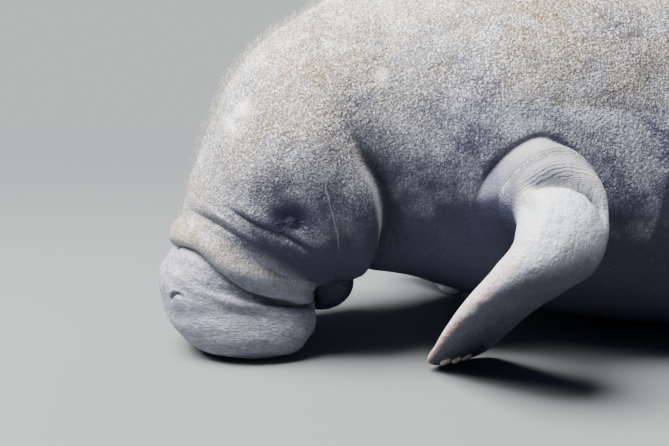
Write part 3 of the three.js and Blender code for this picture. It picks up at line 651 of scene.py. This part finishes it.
used, quad_numbers = np.unique(np.concatenate([quads.ravel(), triangles.ravel()]), return_inverse=True)
quads = quad_numbers[:quads.size].reshape(-1, 4)
triangles = quad_numbers[quads.size:].reshape(-1, 3)
points = points[used]
point_ribs = np.concatenate(skin_ribs)[used]
point_angles = np.concatenate(skin_angles)[used]
point_limbs = np.concatenate(skin_limbs)[used]
arm_grooves = arm_grooves[used]


def to_frame(millimetres):
    """Millimetres of the body's own measure as metres in the frame."""
    return (millimetres - [REST_X, 0, 0]) / METRE


def make_mesh(name, vertices, faces):
    """A smooth-shaded object at the origin, from vertices in metres and lists of faces."""
    mesh = bpy.data.meshes.new(name)
    mesh.from_pydata(vertices.tolist(), [], faces)
    mesh.polygons.foreach_set("use_smooth", np.ones(len(mesh.polygons), bool))
    mesh.update()
    return in_scene(name, mesh)


def in_scene(name, data):
    """A new object of the scene, made of this data."""
    made = bpy.data.objects.new(name, data)
    bpy.context.scene.collection.objects.link(made)
    return made


def mark(made, name, values):
    """Stores one number or one vector for each vertex, under a name that a material can read."""
    kind, field = ("FLOAT", "value") if values.ndim == 1 else ("FLOAT_VECTOR", "vector")
    made.data.attributes.new(name, kind, "POINT").data.foreach_set(field, values.astype(np.float32).ravel())


hide = make_mesh("hide", to_frame(points), quads.tolist() + triangles.tolist())

# What differs from place to place: the algae that grow where light falls, the paler lip pad and
# flippers, the painted shade in the folds, eye hollows and nostrils, on the arm's mound, behind the arm
# and underneath, the painted light on top and along the jowl's edge, and the worn front edges of the
# flippers. Each becomes a number at every vertex, under its name here.
BARE_PATCHES = [((-150, -99, 350), 11), ((-161, -97, 331), 10), ((20, -169, 389), 7), ((520, -240, 500), 12),
                ((1400, -150, 430), 14)]  # worn spots on the head and back, place and size in millimetres
HOLLOW = {"lift": 7.0, "forward": 2.0, "long": 42.0, "high": 25.0}
point_downs = degrees_down(point_angles)
normals = vertex_normals(points)
limb_distance, limb_front, limb_turn = point_limbs.T
on_body, on_arm = limb_distance == 0, limb_distance != 0
on_muzzle = (1 - fade_in(-0.25, 0.1, point_ribs - fold_rib(FOLDS[0], point_downs))) * on_body
loft_normals, tail_way, per_rib, _ = frame_at(point_ribs, point_angles)
faces_up = np.where(on_body, (loft_normals[:, 2] + normals[:, 2]) / 2, normals[:, 2])
# How strongly facing up paints the skin pale with painted light: halved towards the tail.
painted_light_share = 1 - 0.5 * fade_in(15.5, 20, point_ribs)
# Painted shade on the flank behind the arm, where it does not face up.
shade_behind_arm = fade_in(13.6, 14.5, point_ribs) * (1 - fade_in(0.35, 0.85, faces_up)) * on_body
grooves = fold_marks(point_ribs, point_angles, per_rib)[2] * on_body
# Painted shade round each eye, over its hollow.
from_eye = on_left(points) - eye_place
hollow = bell(np.hypot((from_eye[:, 0] + HOLLOW["forward"]) / HOLLOW["long"],
                       (from_eye[:, 2] - HOLLOW["lift"]) / HOLLOW["high"]), 1) * bell(from_eye[:, 1], 60)
# The upper face and the lip pad get less painted shade.
upper_face = (1 - fade_in(7.5, 9.0, point_ribs)) * (1 - fade_in(138, 152, point_downs)) * on_body
behind_neck = (point_ribs - fold_rib(FOLDS[-1], point_downs)) * per_rib
bare = [bell(np.linalg.norm((on_left(points) - at) / [size, 40, size * 1.4], axis=1), 1)
        for at, size in BARE_PATCHES]
from_foot = on_ellipse(points[:, 0], points[:, 2], FOOT)[0]
on_mound = on_arm * np.maximum(fade_in(-20, 0, limb_distance), 1 - fade_in(0.96, 1.1, from_foot))
# Painted shade round each nostril.
nostril_place = loft(NOSTRIL["rib"], angle_at(NOSTRIL["down"], -1))
marks = {
    "algae": fade_in(-0.25, 0.6, faces_up) * (1 - 0.85 * on_muzzle) * (1 - 0.9 * on_arm),
    "pale": np.maximum(on_muzzle, fade_in(40, 62, limb_distance)),
    "muzzle": on_muzzle,
    "up": faces_up * painted_light_share - 0.32 * shade_behind_arm,
    "face": np.maximum(on_muzzle, upper_face),
    # painted highlight: a thin pale rim of light along the jowl's edge
    "jowl_rim_light": bell(behind_neck + 10, 4) * band(88, 120, 10, point_downs) * on_body,
    "bare": np.max(bare, axis=0),
    "smooth": np.maximum(on_mound, (1 - fade_in(6, 10.6, point_ribs)) * on_body),
    "groove": np.maximum(grooves, arm_grooves),
    "hollow": hollow,
    "nostril": bell(np.linalg.norm(on_left(points) - nostril_place, axis=1), 17),
    # painted shade: the arm's mound is painted darker
    "mound": on_mound * (1 - fade_in(20, 45, limb_distance)),
    "weedy": bell(point_ribs - 10.4, 0.8) * band(40, 70, 10, point_downs),
    "front_edge": limb_front,
    "arm_ring": limb_distance * band(-30, 46, 8, limb_distance),
    "arm_wrinkles": band(-22, 44, 6, limb_distance) * on_arm * fade_in(-0.2, 0.5, normals[:, 2]),
}
for name, values in marks.items():
    mark(hide, name, values)
# The lie of the skin, in millimetres: along the body, round it and across it.
along_body = np.interp(point_ribs, RIB_NUMBERS, RIB_KNOTS)
girth = np.interp(point_ribs, RIB_NUMBERS, np.hypot(RIBS[:, 4], 120))
mark(hide, "lie", np.stack([along_body, np.radians(point_downs) * girth, points[:, 1]], -1))


def colour(hex_code):
    """An sRGB hex value as linear red, green, blue and alpha."""
    srgb = np.array([int(hex_code[i:i + 2], 16) for i in (1, 3, 5)]) / 255
    linear = np.where(srgb <= 0.04045, srgb / 12.92, ((srgb + 0.055) / 1.055) ** 2.4)
    return (*linear.tolist(), 1.0)


# The nodes of the materials: a type, the sockets that values go to in order, the output that is passed
# on, and settings. A rise goes from 0 where a value is low to 1, or another height, where it is high.
NODES = {
    "place": ("TexCoord", (), "Object", {}),
    "mark": ("Attribute", (), "Fac", {}),
    "vector mark": ("Attribute", (), "Vector", {}),
    "stretched": ("Mapping", ("Vector", "Scale"), 0, {}),
    "noise": ("TexNoise", ("Vector", "Scale", "Detail", "Roughness", "Distortion"), 0, {}),
    "pebbles": ("TexVoronoi", ("Vector", "Scale"), 0, {"feature": "SMOOTH_F1"}),
    "times": ("Math", (0, 1), 0, {"operation": "MULTIPLY"}),
    "minus": ("Math", (0, 1), 0, {"operation": "SUBTRACT"}),
    "times plus": ("Math", (0, 1, 2), 0, {"operation": "MULTIPLY_ADD"}),
    "absolute": ("Math", (0,), 0, {"operation": "ABSOLUTE"}),
    "sine": ("Math", (0,), 0, {"operation": "SINE"}),
    "rise": ("MapRange", ("Value", "From Min", "From Max", "To Max"), 0,
             {"interpolation_type": "SMOOTHSTEP"}),
    "range": ("MapRange", ("Value", "From Min", "From Max", "To Min", "To Max"), 0, {}),
    "laid over": ("Mix", (0, 6, 7), 2, {"data_type": "RGBA"}),
    "offset": ("VectorMath", (0, 1), 0, {"operation": "SUBTRACT"}),
    "along": ("VectorMath", (0, 1), "Value", {"operation": "DOT_PRODUCT"}),
    "bump": ("Bump", ("Height", "Strength", "Distance"), 0, {}),
}


def add(tree, kind, *values, **settings):
    """Adds a node that NODES describes. Values go to its sockets, each a number, a hex colour or the
    output of another node, and settings are its properties. Returns its output."""
    type_name, sockets, output, fixed = NODES[kind]
    node = tree.nodes.new("ShaderNode" + type_name)
    for name, value in {**fixed, **settings}.items():
        setattr(node, name, value)
    for socket, value in zip(sockets, values):
        if isinstance(value, bpy.types.NodeSocket):
            tree.links.new(value, node.inputs[socket])
        else:
            node.inputs[socket].default_value = colour(value) if isinstance(value, str) else value
    return node.outputs[output]


def material(name, **constants):
    """A new material with a Principled shader whose sockets are set to constants. Returns it with its
    tree and its shader node."""
    made = bpy.data.materials.new(name)
    made.use_nodes = True
    shader = made.node_tree.nodes["Principled BSDF"]
    for socket, value in constants.items():
        value = colour(value) if isinstance(value, str) else value
        shader.inputs[socket.replace("_", " ")].default_value = value
    return made, made.node_tree, shader


def layered(tree, under, layers):
    """Colours laid one over another: each layer is the share that it covers, and its colour."""
    for share, over in layers:
        under = add(tree, "laid over", share, under, over)
    return under


# Manatee hide: thick, matt, finely pebbled skin, mid blue-grey, peeling in pale flecks 2 to 4 mm across,
# with olive-brown algae on the back and crown. The lip pad and flippers are paler and smoother. Painted
# light makes the top pale and rims the jowl's edge; painted shade darkens the underside, the flank behind
# the arm, the arm's mound, the folds, the eye hollows and the nostrils.
HIDE = {"deep": "#434459", "grey": "#7c7d8a", "light": "#9d9ea6", "top": "#d3d0cc", "fleck": "#e9e9ea",
        "algae": "#5e4826", "moss": "#857a5e", "lip": "#858591", "blade": "#b9bdc3", "fold": "#1a1b2a",
        "hollow": "#15163a", "under": "#171b33", "edge": "#c79d90", "scar": "#dcdde0"}
# Noises through the skin: the size of their cells in millimetres, their detail and roughness.
NOISES = {"grain": (2.5, 3, 0.65), "fine": (1.3, 2, 0.6), "blotch": (44, 4, 0.6), "broad": (170, 3, 0.55),
          "patchy": (26, 5, 0.68), "dents": (24, 3, 0.55)}
# Noises that follow the lie of the skin: their cells along the body, round it and across it, in
# millimetres, then detail, roughness and twist.
DRAWN_NOISES = {"strokes": ((1.8, 5, 5), 2, 0.6, 0), "streaks": ((1.8, 14, 14), 3, 0.65, 0),
                "wrinkles": ((6, 46, 46), 3, 0.6, 0.5)}
PEBBLE = 3.0  # millimetres across
# Old scratches from boats and rocks: each a thin line from one place to another on the skin, in
# millimetres, and its width. It wavers by a few millimetres.
SCARS = [((-62, -166, 276), (-30, -150, 160), 0.9), ((-20, -172, 310), (-12, -174, 268), 0.7),
         ((700, 250, 470), (860, 262, 455), 1.6), ((1320, -190, 400), (1450, -170, 380), 1.5)]
SCAR_WAVER = 0.008
SCAR_DEPTH = (-0.08, -0.06)  # metres outwards from the line, so that it stays on its own side

skin_material, tree, shader = material("manatee_hide", Specular_IOR_Level=0.4)
place = add(tree, "place")
lie = add(tree, "vector mark", attribute_name="lie")
here = {name: add(tree, "mark", attribute_name=name) for name in marks}
grain, fine, blotch, broad, patchy, dents = (
    add(tree, "noise", place, METRE / size, *character) for size, *character in NOISES.values())
strokes, streaks, wrinkles = (
    add(tree, "noise", add(tree, "stretched", lie, [1 / size for size in sizes]), 1, *character)
    for sizes, *character in DRAWN_NOISES.values())

# Where the skin faces up it is painted pale, as painted light from above, and where it faces down it
# takes painted shade; where weed takes hold it is brown. Fine dark pits and pale flecks are fewer on the
# smoother skin of the lower face.
painted_light_level = add(tree, "times plus", blotch, 0.9, here["up"])
weedy = add(tree, "times plus", here["weedy"], 0.4, broad)
colonies = add(tree, "times", add(tree, "rise", patchy, 0.3, 0.54), add(tree, "rise", weedy, 0.28, 0.58))
growth = add(tree, "times", colonies, here["algae"])
rougher = add(tree, "times plus", here["smooth"], -0.8, 1)
pit_colour = add(tree, "laid over", growth, HIDE["deep"], HIDE["algae"])
speckle = add(tree, "times plus", grain, 1, strokes)
lit = add(tree, "times plus", here["algae"], 0.5, 0.5)
flecks = add(tree, "times", add(tree, "rise", speckle, 1.02, 1.18, 0.85), add(tree, "times", lit, rougher))
# The lip pad and flippers, with fine streaks along the lie of the skin.
grainy = add(tree, "times", add(tree, "times plus", streaks, -1, grain),
             add(tree, "times plus", here["muzzle"], -1, 1))
streaky = add(tree, "minus", add(tree, "times plus", streaks, 1, grainy), 0.5)
streaky = add(tree, "times", streaky, add(tree, "times plus", here["muzzle"], 0.6, 0.4))
pale_tone = layered(tree, HIDE["blade"], [
    (here["muzzle"], HIDE["lip"]),
    (add(tree, "rise", streaky, 0.04, -0.12, 0.5), HIDE["deep"]),
    (add(tree, "rise", streaky, 0.04, 0.18, 0.4), HIDE["fleck"]),
])
pale_share = add(tree, "times plus", add(tree, "rise", blotch, 0.62, 0.4), 0.3, 0.65)
# Painted shade: skin that faces down takes the dark under colour, less of it on the face.
shaded = add(tree, "times", add(tree, "rise", painted_light_level, 0.74, 0, 0.95),
             add(tree, "times plus", here["face"], -0.75, 1))
hollow_share = add(tree, "times", here["hollow"], add(tree, "times plus", patchy, 0.9, 0.55))
tone = layered(tree, HIDE["deep"], [
    (add(tree, "rise", blotch, 0.3, 0.64), HIDE["grey"]),
    (add(tree, "rise", broad, 0.35, 0.7, 0.55), HIDE["light"]),
    # painted light: skin that faces up is painted pale
    (add(tree, "rise", painted_light_level, 0.65, 1.45, 0.95), HIDE["top"]),
    (add(tree, "times", growth, 0.75), HIDE["moss"]),
    (add(tree, "times", growth, add(tree, "rise", grain, 0.58, 0.42, 0.95)), HIDE["algae"]),
    (add(tree, "times", growth, add(tree, "rise", fine, 0.54, 0.68, 0.5)), HIDE["moss"]),
    (add(tree, "times", add(tree, "rise", grain, 0.5, 0.38, 0.75), rougher), pit_colour),
    (add(tree, "times", flecks, add(tree, "times plus", growth, -0.35, 1)), HIDE["fleck"]),
    (add(tree, "times", here["pale"], pale_share), pale_tone),
    # painted shade on the arm's mound
    (add(tree, "times", here["mound"], 0.62), HIDE["deep"]),
    # painted shade underneath
    (shaded, HIDE["under"]),
    # painted shade in the eye hollows
    (add(tree, "rise", hollow_share, 0.02, 1, 0.95), HIDE["hollow"]),
    # painted shade round the nostrils
    (add(tree, "times", here["nostril"], 0.4), HIDE["deep"]),
    # painted shade in the folds
    (add(tree, "rise", here["groove"], 0.15, 0.9, 0.85), HIDE["fold"]),
    # painted highlight along the jowl's edge
    (add(tree, "times", here["jowl_rim_light"], 0.45), HIDE["fleck"]),
    (add(tree, "times", here["bare"], add(tree, "rise", patchy, 0.4, 0.52, 0.75)), HIDE["fleck"]),
    (add(tree, "times", here["front_edge"], add(tree, "rise", grain, 0.3, 0.6, 0.55)), HIDE["edge"]),
])
for begin, end, wide in SCARS:
    begin, end = to_frame(np.array([begin, end], float))
    long = float(np.linalg.norm(end - begin))
    line = (end - begin) / long
    outward = np.array([0, np.sign(begin[1]), 0])
    from_begin = add(tree, "offset", place, tuple(begin))
    off, on, out = (add(tree, "along", from_begin, tuple(way))
                    for way in (unit(np.cross(line, outward)), line, outward))
    near = add(tree, "minus", add(tree, "times plus", blotch, SCAR_WAVER, off), SCAR_WAVER / 2)
    thin = add(tree, "rise", add(tree, "absolute", near), wide / METRE, wide * 0.3 / METRE, 0.26)
    ends = add(tree, "times", add(tree, "rise", on, 0, 0.1 * long), add(tree, "rise", on, long, 0.8 * long))
    shows = add(tree, "times", add(tree, "times", thin, add(tree, "rise", out, *SCAR_DEPTH)), ends)
    tone = layered(tree, tone, [(add(tree, "times", shows, add(tree, "rise", fine, 0.3, 0.5)), HIDE["scar"])])
tree.links.new(tone, shader.inputs["Base Color"])
rough = add(tree, "range", grain, 0.3, 0.7, 0.52, 0.82)
rough = add(tree, "times", rough, add(tree, "times plus", here["pale"], -0.28, 1))
tree.links.new(rough, shader.inputs["Roughness"])

# The relief that is too fine for the mesh: pebbles, wrinkles that run round the body, soft dents, and
# close parallel wrinkles where the arm's skin gathers, about 4.6 mm apart.
GATHERS = 1.35  # radians of the wrinkles' wave for each millimetre along the limb
pebbles = add(tree, "pebbles", place, METRE / PEBBLE)
ring_shift = add(tree, "times plus", dents, 9, here["arm_ring"])
ring_wave = add(tree, "sine", add(tree, "times", ring_shift, GATHERS))
off_lip = add(tree, "times plus", here["muzzle"], -1, here["pale"])
relief = add(tree, "times plus", pebbles, -0.6, add(tree, "times", wrinkles, 0.9))
relief = add(tree, "times", relief, add(tree, "times plus", here["smooth"], -0.45, 1))
for part, share in [
    (grain, add(tree, "times plus", here["pale"], -0.45, 0.8)),
    (streaks, add(tree, "times", here["muzzle"], 0.7)),
    (dents, add(tree, "times plus", off_lip, 1.6, 1.6)),
    (ring_wave, add(tree, "times", here["arm_wrinkles"], 0.28)),
]:
    relief = add(tree, "times plus", part, share, relief)
tree.links.new(add(tree, "bump", relief, 0.85, 0.0022), shader.inputs["Normal"])

hide.data.materials.append(skin_material)
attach(hide, "root")
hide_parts("muzzle", "head", "lower_jaw", "neck", "chest", "belly", "loins", "tail_stock",
            "tail_paddle", "upper_arm_left", "upper_arm_right", "flipper_left", "flipper_right")


# The eyes: small balls of clear jelly, all but closed in by the lids, of which only a slit shows. Each
# sits in its socket behind the lids' edge and bulges a little at the cornea.
EYE_GRID = (24, 36)
CORNEA = {"rise": 0.06, "wide": 0.5}  # shares of the ball's radius, and radians from its front

# A wet eyeball: nearly black, smooth and glossy.
eye_material, *_ = material("wet_eyeball", Base_Color="#15100e", Roughness=0.08, IOR=1.38)


def closed_ball(grid, surface):
    """A ball from a surface that gives a place for an angle from its top, 0 to pi, and a turn round it.
    Returns its places, and its four-sided and three-sided faces, which point outwards."""
    polar, turn = np.meshgrid(np.linspace(0, np.pi, grid[0] + 1), 2 * np.pi * np.arange(grid[1]) / grid[1],
                              indexing="ij")
    places = surface(polar, turn)
    rings = places[1:-1]
    numbers = np.arange(rings[..., 0].size).reshape(rings.shape[:2])
    first, last = numbers[0], numbers[-1]
    top, foot = np.full((2, len(first)), [[numbers.size], [numbers.size + 1]])
    fans = [np.stack([np.roll(first, -1), top, first], -1), np.stack([foot, np.roll(last, -1), last], -1)]
    return (np.concatenate([rings.reshape(-1, 3), places[:1, 0], places[-1:, 0]]),
            ring_faces(numbers)[:, ::-1], np.concatenate(fans))


for side, word in ((-1, "left"), (1, "right")):
    middle, normal, along, _ = eye_frame(side)
    over = np.cross(normal, along)

    def eyeball(polar, turn):
        """A sphere whose radius grows by a bell round its front."""
        radius = EYE["ball"] * (1 + CORNEA["rise"] * bell(polar, CORNEA["wide"]))
        x, y = radius * np.sin(polar) * [np.cos(turn), np.sin(turn)]
        z = radius * np.cos(polar)
        return middle + x[..., None] * along + y[..., None] * over + z[..., None] * normal

    ball, ball_quads, ball_fans = closed_ball(EYE_GRID, eyeball)
    eye = make_mesh(f"eyeball_{word}", to_frame(ball), ball_quads.tolist() + ball_fans.tolist())
    eye.data.materials.append(eye_material)
    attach(eye, "root")
    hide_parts(f"eye_{word}")


# The nails: three small domes of dull horn at the edge of each flipper near its tip, rooted in its skin.
# Across is the cosine of the turn round the blade, and station the row of LIMB, where each stands.
NAIL = {"across": (-0.62, -0.3, 0.02), "station": 7.6, "wide": 14.0, "long": 17.0, "thick": 7.0, "full": 2.6}
NAIL_GRID = (14, 24)
NAIL_GRAIN = 5.0  # millimetres across
NAIL_RIDGES = (1.2, 9, 9)  # millimetres along the body, across it and up

# Dull horn: yellowish grey, cloudy, with fine ridges that catch the light.
nail_material, tree, shader = material("dull_horn", Roughness=0.42)
nail_place = add(tree, "place")
cloudy = add(tree, "rise", add(tree, "noise", nail_place, METRE / NAIL_GRAIN, 3), 0.35, 0.65)
tree.links.new(add(tree, "laid over", cloudy, "#8f8270", "#b8ab95"), shader.inputs["Base Color"])
ridged = add(tree, "stretched", nail_place, [METRE / size for size in NAIL_RIDGES])
tree.links.new(add(tree, "bump", add(tree, "noise", ridged, 1, 2), 0.5, 0.0006), shader.inputs["Normal"])

for side, word in ((-1, "left"), (1, "right")):
    shells = []
    station = np.interp(NAIL["station"], np.arange(len(LIMB)), LIMB_KNOTS)
    for across in NAIL["across"]:
        turn = np.arccos(across)
        root, later, other = limb_point(station + np.array([0, 2, 0]), turn * np.array([1, 1, -1]), side)
        out = unit(root - other)
        level = unit(np.cross(later - root, out))
        lying = np.cross(out, level)

        def nail(polar, turn):
            """An ellipsoid whose plan is a superellipse."""
            plan = np.sin(polar) * rounded(turn, NAIL["full"])
            x = NAIL["wide"] / 2 * plan * np.cos(turn)
            y = NAIL["long"] / 2 * plan * np.sin(turn)
            z = NAIL["thick"] / 2 * np.cos(polar)
            return root + x[..., None] * level + y[..., None] * lying + z[..., None] * out

        shells.append(closed_ball(NAIL_GRID, nail))
    each = len(shells[0][0])
    nail_faces = [(faces + each * i).tolist() for i, shell in enumerate(shells) for faces in shell[1:]]
    nail_points = np.concatenate([shell[0] for shell in shells])
    nails = make_mesh(f"nails_{word}", to_frame(nail_points), sum(nail_faces, []))
    nails.data.materials.append(nail_material)
    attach(nails, "root")


# The body hairs: single, fine, pale hairs all over the hide, closest on the crown and face, each a
# tapered tube of three sides rooted in the skin and leaning back. Sizes are in millimetres.
HAIR = {"count": 6000, "long": (8, 16), "root": 0.28, "sunk": 1.5, "stand": 0.95, "lean": 0.35,
        "stray": 0.3, "bend": 0.35}
HAIR_RINGS = (0.0, 0.4, 0.78)  # shares of its length
HAIR_SIDES = 3
HAIR_TAPER = 0.7
HAIR_FLOOR = 0.6  # millimetres, the lowest that a hair lies above the ground
PATCH = 0.003  # the size of a hair's patch in the map of its colours

# The hide opened flat: the body from its nose up, and the limbs above it.
round_way = unit(np.cross(normals, tail_way)) * np.sign(points[:, 1:2] + 1e-6)
body_map = np.stack([point_angles % (2 * np.pi) / (2 * np.pi), 0.8 * point_ribs / LAST_RIB], -1)
limb_map = np.stack([0.5 * limb_turn + 0.5 * (points[:, 1] > 0), 0.86 + limb_distance / 3500], -1)
hide_map = np.where(limb_distance[:, None] > 0, limb_map, body_map)


def grown(name, sizes, likely, way, seed):
    """Hairs on the hide: each starts at a random place, chosen by the area of the faces times how
    likely each vertex is to bear one, and leaves along the normal and a way along the skin, bending
    towards that way with the square of the distance from the root. Returns their object."""
    draws = np.random.default_rng(seed)
    corners = points[quads]
    area = np.linalg.norm(np.cross(corners[:, 2] - corners[:, 0], corners[:, 3] - corners[:, 1]), axis=-1)
    chance = area * likely[quads].mean(1)
    chosen = quads[draws.choice(len(quads), sizes["count"], p=chance / chance.sum())]
    u, v = draws.random((2, sizes["count"], 1))

    def at_root(values):
        """Values at the roots, from the corners of their faces."""
        a, b, c, d = (values[chosen[:, i]] for i in range(4))
        return (a * (1 - u) + b * u) * (1 - v) + (d * (1 - u) + c * u) * v

    normal, along = unit(at_root(normals)), unit(at_root(way))
    stray = draws.normal(0, sizes["stray"], (sizes["count"], 3))
    direction = unit(normal * sizes["stand"] + along * sizes["lean"] + stray)
    long = draws.uniform(*sizes["long"], (sizes["count"], 1))
    root = at_root(points) - normal * sizes["sunk"]
    first = unit(np.cross(direction, along + 0.01))
    second = np.cross(direction, first)
    parts = []
    for s in HAIR_RINGS + (1.0,):
        middle = root + direction * long * s + along * long * sizes["bend"] * s * s
        middle[:, 2] = np.maximum(middle[:, 2], HAIR_FLOOR)
        wide = sizes["root"] * (1 - HAIR_TAPER * s) * (s < 1)
        for turn in 2 * np.pi * np.arange(HAIR_SIDES if s < 1 else 1) / HAIR_SIDES:
            parts.append(middle + wide * (first * np.cos(turn) + second * np.sin(turn)))
    vertices = np.stack(parts, 1)
    per_hair = vertices.shape[1]
    steps = [(r, c) for r in range(len(HAIR_RINGS) - 1) for c in range(HAIR_SIDES)]
    at_ring = [[HAIR_SIDES * r + c, HAIR_SIDES * r + (c + 1) % HAIR_SIDES] for r, c in steps]
    sides = [[a, b, b + HAIR_SIDES, a + HAIR_SIDES] for a, b in at_ring]
    ends = [[a + HAIR_SIDES, b + HAIR_SIDES, per_hair - 1] for a, b in at_ring[-HAIR_SIDES:]] + [[2, 1, 0]]
    base = per_hair * np.arange(sizes["count"])[:, None, None]
    faces = (base + np.array(sides)).reshape(-1, 4).tolist() + (base + np.array(ends)).reshape(-1, 3).tolist()
    made = make_mesh(name, to_frame(vertices.reshape(-1, 3)), faces)

    # Each hair is opened flat into a small square at its root's place on the hide's own map.
    side_map = [[(c, r), (c + 1, r), (c + 1, r + 1), (c, r + 1)] for r, c in steps]
    top = len(HAIR_RINGS) - 1
    end_map = [[(c, top), (c + 1, top), (c + 0.5, top + 1)] for c in range(HAIR_SIDES)]
    end_map += [[(2, 0), (1, 0), (1.5, -0.2)]]
    corner = at_root(hide_map)[:, None, None, :] - PATCH / 2
    scale = PATCH / np.array([HAIR_SIDES, len(HAIR_RINGS)])
    flat = [(corner + np.array(m) * scale).reshape(-1, 2) for m in (side_map, end_map)]
    made.data.uv_layers.new(name="OFBake").data.foreach_set("uv", np.concatenate(flat).ravel())
    return made


crown = bell(point_ribs - 11.5, 2.2) * fade_in(-0.4, 0.6, normals[:, 2])
face = (1 - fade_in(11, 13, point_ribs)) * (limb_distance == 0) * (1 - on_muzzle)
hair_likely = (0.3 + 5.0 * crown + 1.0 * face) * (1 - np.maximum(on_mound, on_muzzle))
hair_likely = hair_likely * fade_in(0.05, 0.6, faces_up) * (1 - hollow) * (1 - np.minimum(4 * grooves, 1))
body_hair = grown("body_hairs", HAIR, hair_likely, tail_way, 11)

# Pale, dry hair, a little warm against the hide.
hair_material, *_ = material("pale_hair", Base_Color="#cbc7bd", Roughness=0.5)
body_hair.data.materials.append(hair_material)
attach(body_hair, "root")


# The lip bristles: short, stiff hairs, lying across the lip pad and thickest on its lower face, rooted
# in it like the body's and of the same horn.
BRISTLE = {"count": 2600, "long": (3.5, 7), "root": 0.3, "sunk": 1.0, "stand": 0.22, "lean": 1.0,
           "stray": 0.22, "bend": -0.05}
bristle_likely = on_muzzle * (1 - np.minimum(grooves * 2, 1)) * (0.6 + fade_in(20, 70, point_downs))
bristle_likely = bristle_likely * (points[:, 2] > 6)
lip_hair = grown("lip_bristles", BRISTLE, bristle_likely, round_way, 12)

# Pale, dry bristle, as grey as the lip pad that it lies on.
bristle_material, *_ = material("pale_bristle", Base_Color="#b9b8bc", Roughness=0.5)
lip_hair.data.materials.append(bristle_material)
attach(lip_hair, "root")


# The floor: plain and matt, wide enough for no edge to show.
FLOOR_HALF = 40.0
floor_corners = FLOOR_HALF * np.array([(-1, -1, 0), (1, -1, 0), (1, 1, 0), (-1, 1, 0)])
floor = make_mesh("floor", floor_corners, [(0, 1, 2, 3)])
floor_material, *_ = material("pale_floor", Base_Color="#626466", Roughness=0.85)
floor.data.materials.append(floor_material)


# The light: a broad, even light from above and a little in front, a softbox over the head, a weak one
# behind, and a dim cool room, whose far side looks as pale as the floor.
LIGHTS = [
    {"kind": "SUN", "name": "ceiling", "place": (-0.36, -0.05, 1.0), "aim": (0, 0, 0), "power": 15.0,
     "tint": (1.0, 0.99, 0.96), "soft": ("angle", np.radians(34))},
    {"kind": "AREA", "name": "front", "place": (-2.4, -0.15, 1.7), "aim": (-1.0, -0.05, 0.3), "power": 120,
     "tint": (1.0, 0.99, 0.96), "soft": ("size", 0.9)},
    {"kind": "AREA", "name": "back", "place": (1.8, 1.4, 2.4), "aim": (0.3, 0, 0.4), "power": 40,
     "tint": (0.9, 0.95, 1.0), "soft": ("size", 1.6)},
]
ROOM = {"light": "#7f9ac8", "strength": 0.3, "seen": "#c6c9cb", "seen_strength": 1.17}

for lamp in LIGHTS:
    data = bpy.data.lights.new(lamp["name"], lamp["kind"])
    data.energy = lamp["power"]
    data.color = lamp["tint"]
    setattr(data, *lamp["soft"])
    light = in_scene(lamp["name"], data)
    light.location = lamp["place"]
    towards = Vector(lamp["aim"]) - Vector(lamp["place"])
    light.rotation_euler = towards.to_track_quat("-Z", "Y").to_euler()

world = bpy.data.worlds.new("room")
world.use_nodes = True
room = world.node_tree.nodes["Background"]
room.inputs["Color"].default_value = colour(ROOM["light"])
room.inputs["Strength"].default_value = ROOM["strength"]
NODES.update({"glow": ("Background", ("Color", "Strength"), 0, {}),
              "seen": ("LightPath", (), "Is Camera Ray", {}),
              "either": ("MixShader", (0, 1, 2), 0, {})})
shown = add(world.node_tree, "glow", ROOM["seen"], ROOM["seen_strength"])
both = add(world.node_tree, "either", add(world.node_tree, "seen"), room.outputs[0], shown)
world.node_tree.links.new(both, world.node_tree.nodes["World Output"].inputs["Surface"])
bpy.context.scene.world = world


# The camera, where the photographer's was: low at the animal's left front, looking a little down. A
# picture that is 669 pixels wide lies 656 pixels in front of it, and the sensor is 36 mm wide.
CAMERA = {"place": (-1.2219, -0.9703, 0.330), "down": 8.6, "turn": -14.0, "far": 656, "wide": 669,
          "sensor": 36}
camera_data = bpy.data.cameras.new("camera")
camera_data.sensor_width = CAMERA["sensor"]
camera_data.lens = CAMERA["sensor"] * CAMERA["far"] / CAMERA["wide"]
camera = in_scene("camera", camera_data)
camera.location = CAMERA["place"]
camera.rotation_euler = (np.radians(90 - CAMERA["down"]), 0, np.radians(CAMERA["turn"]))
bpy.context.scene.camera = camera
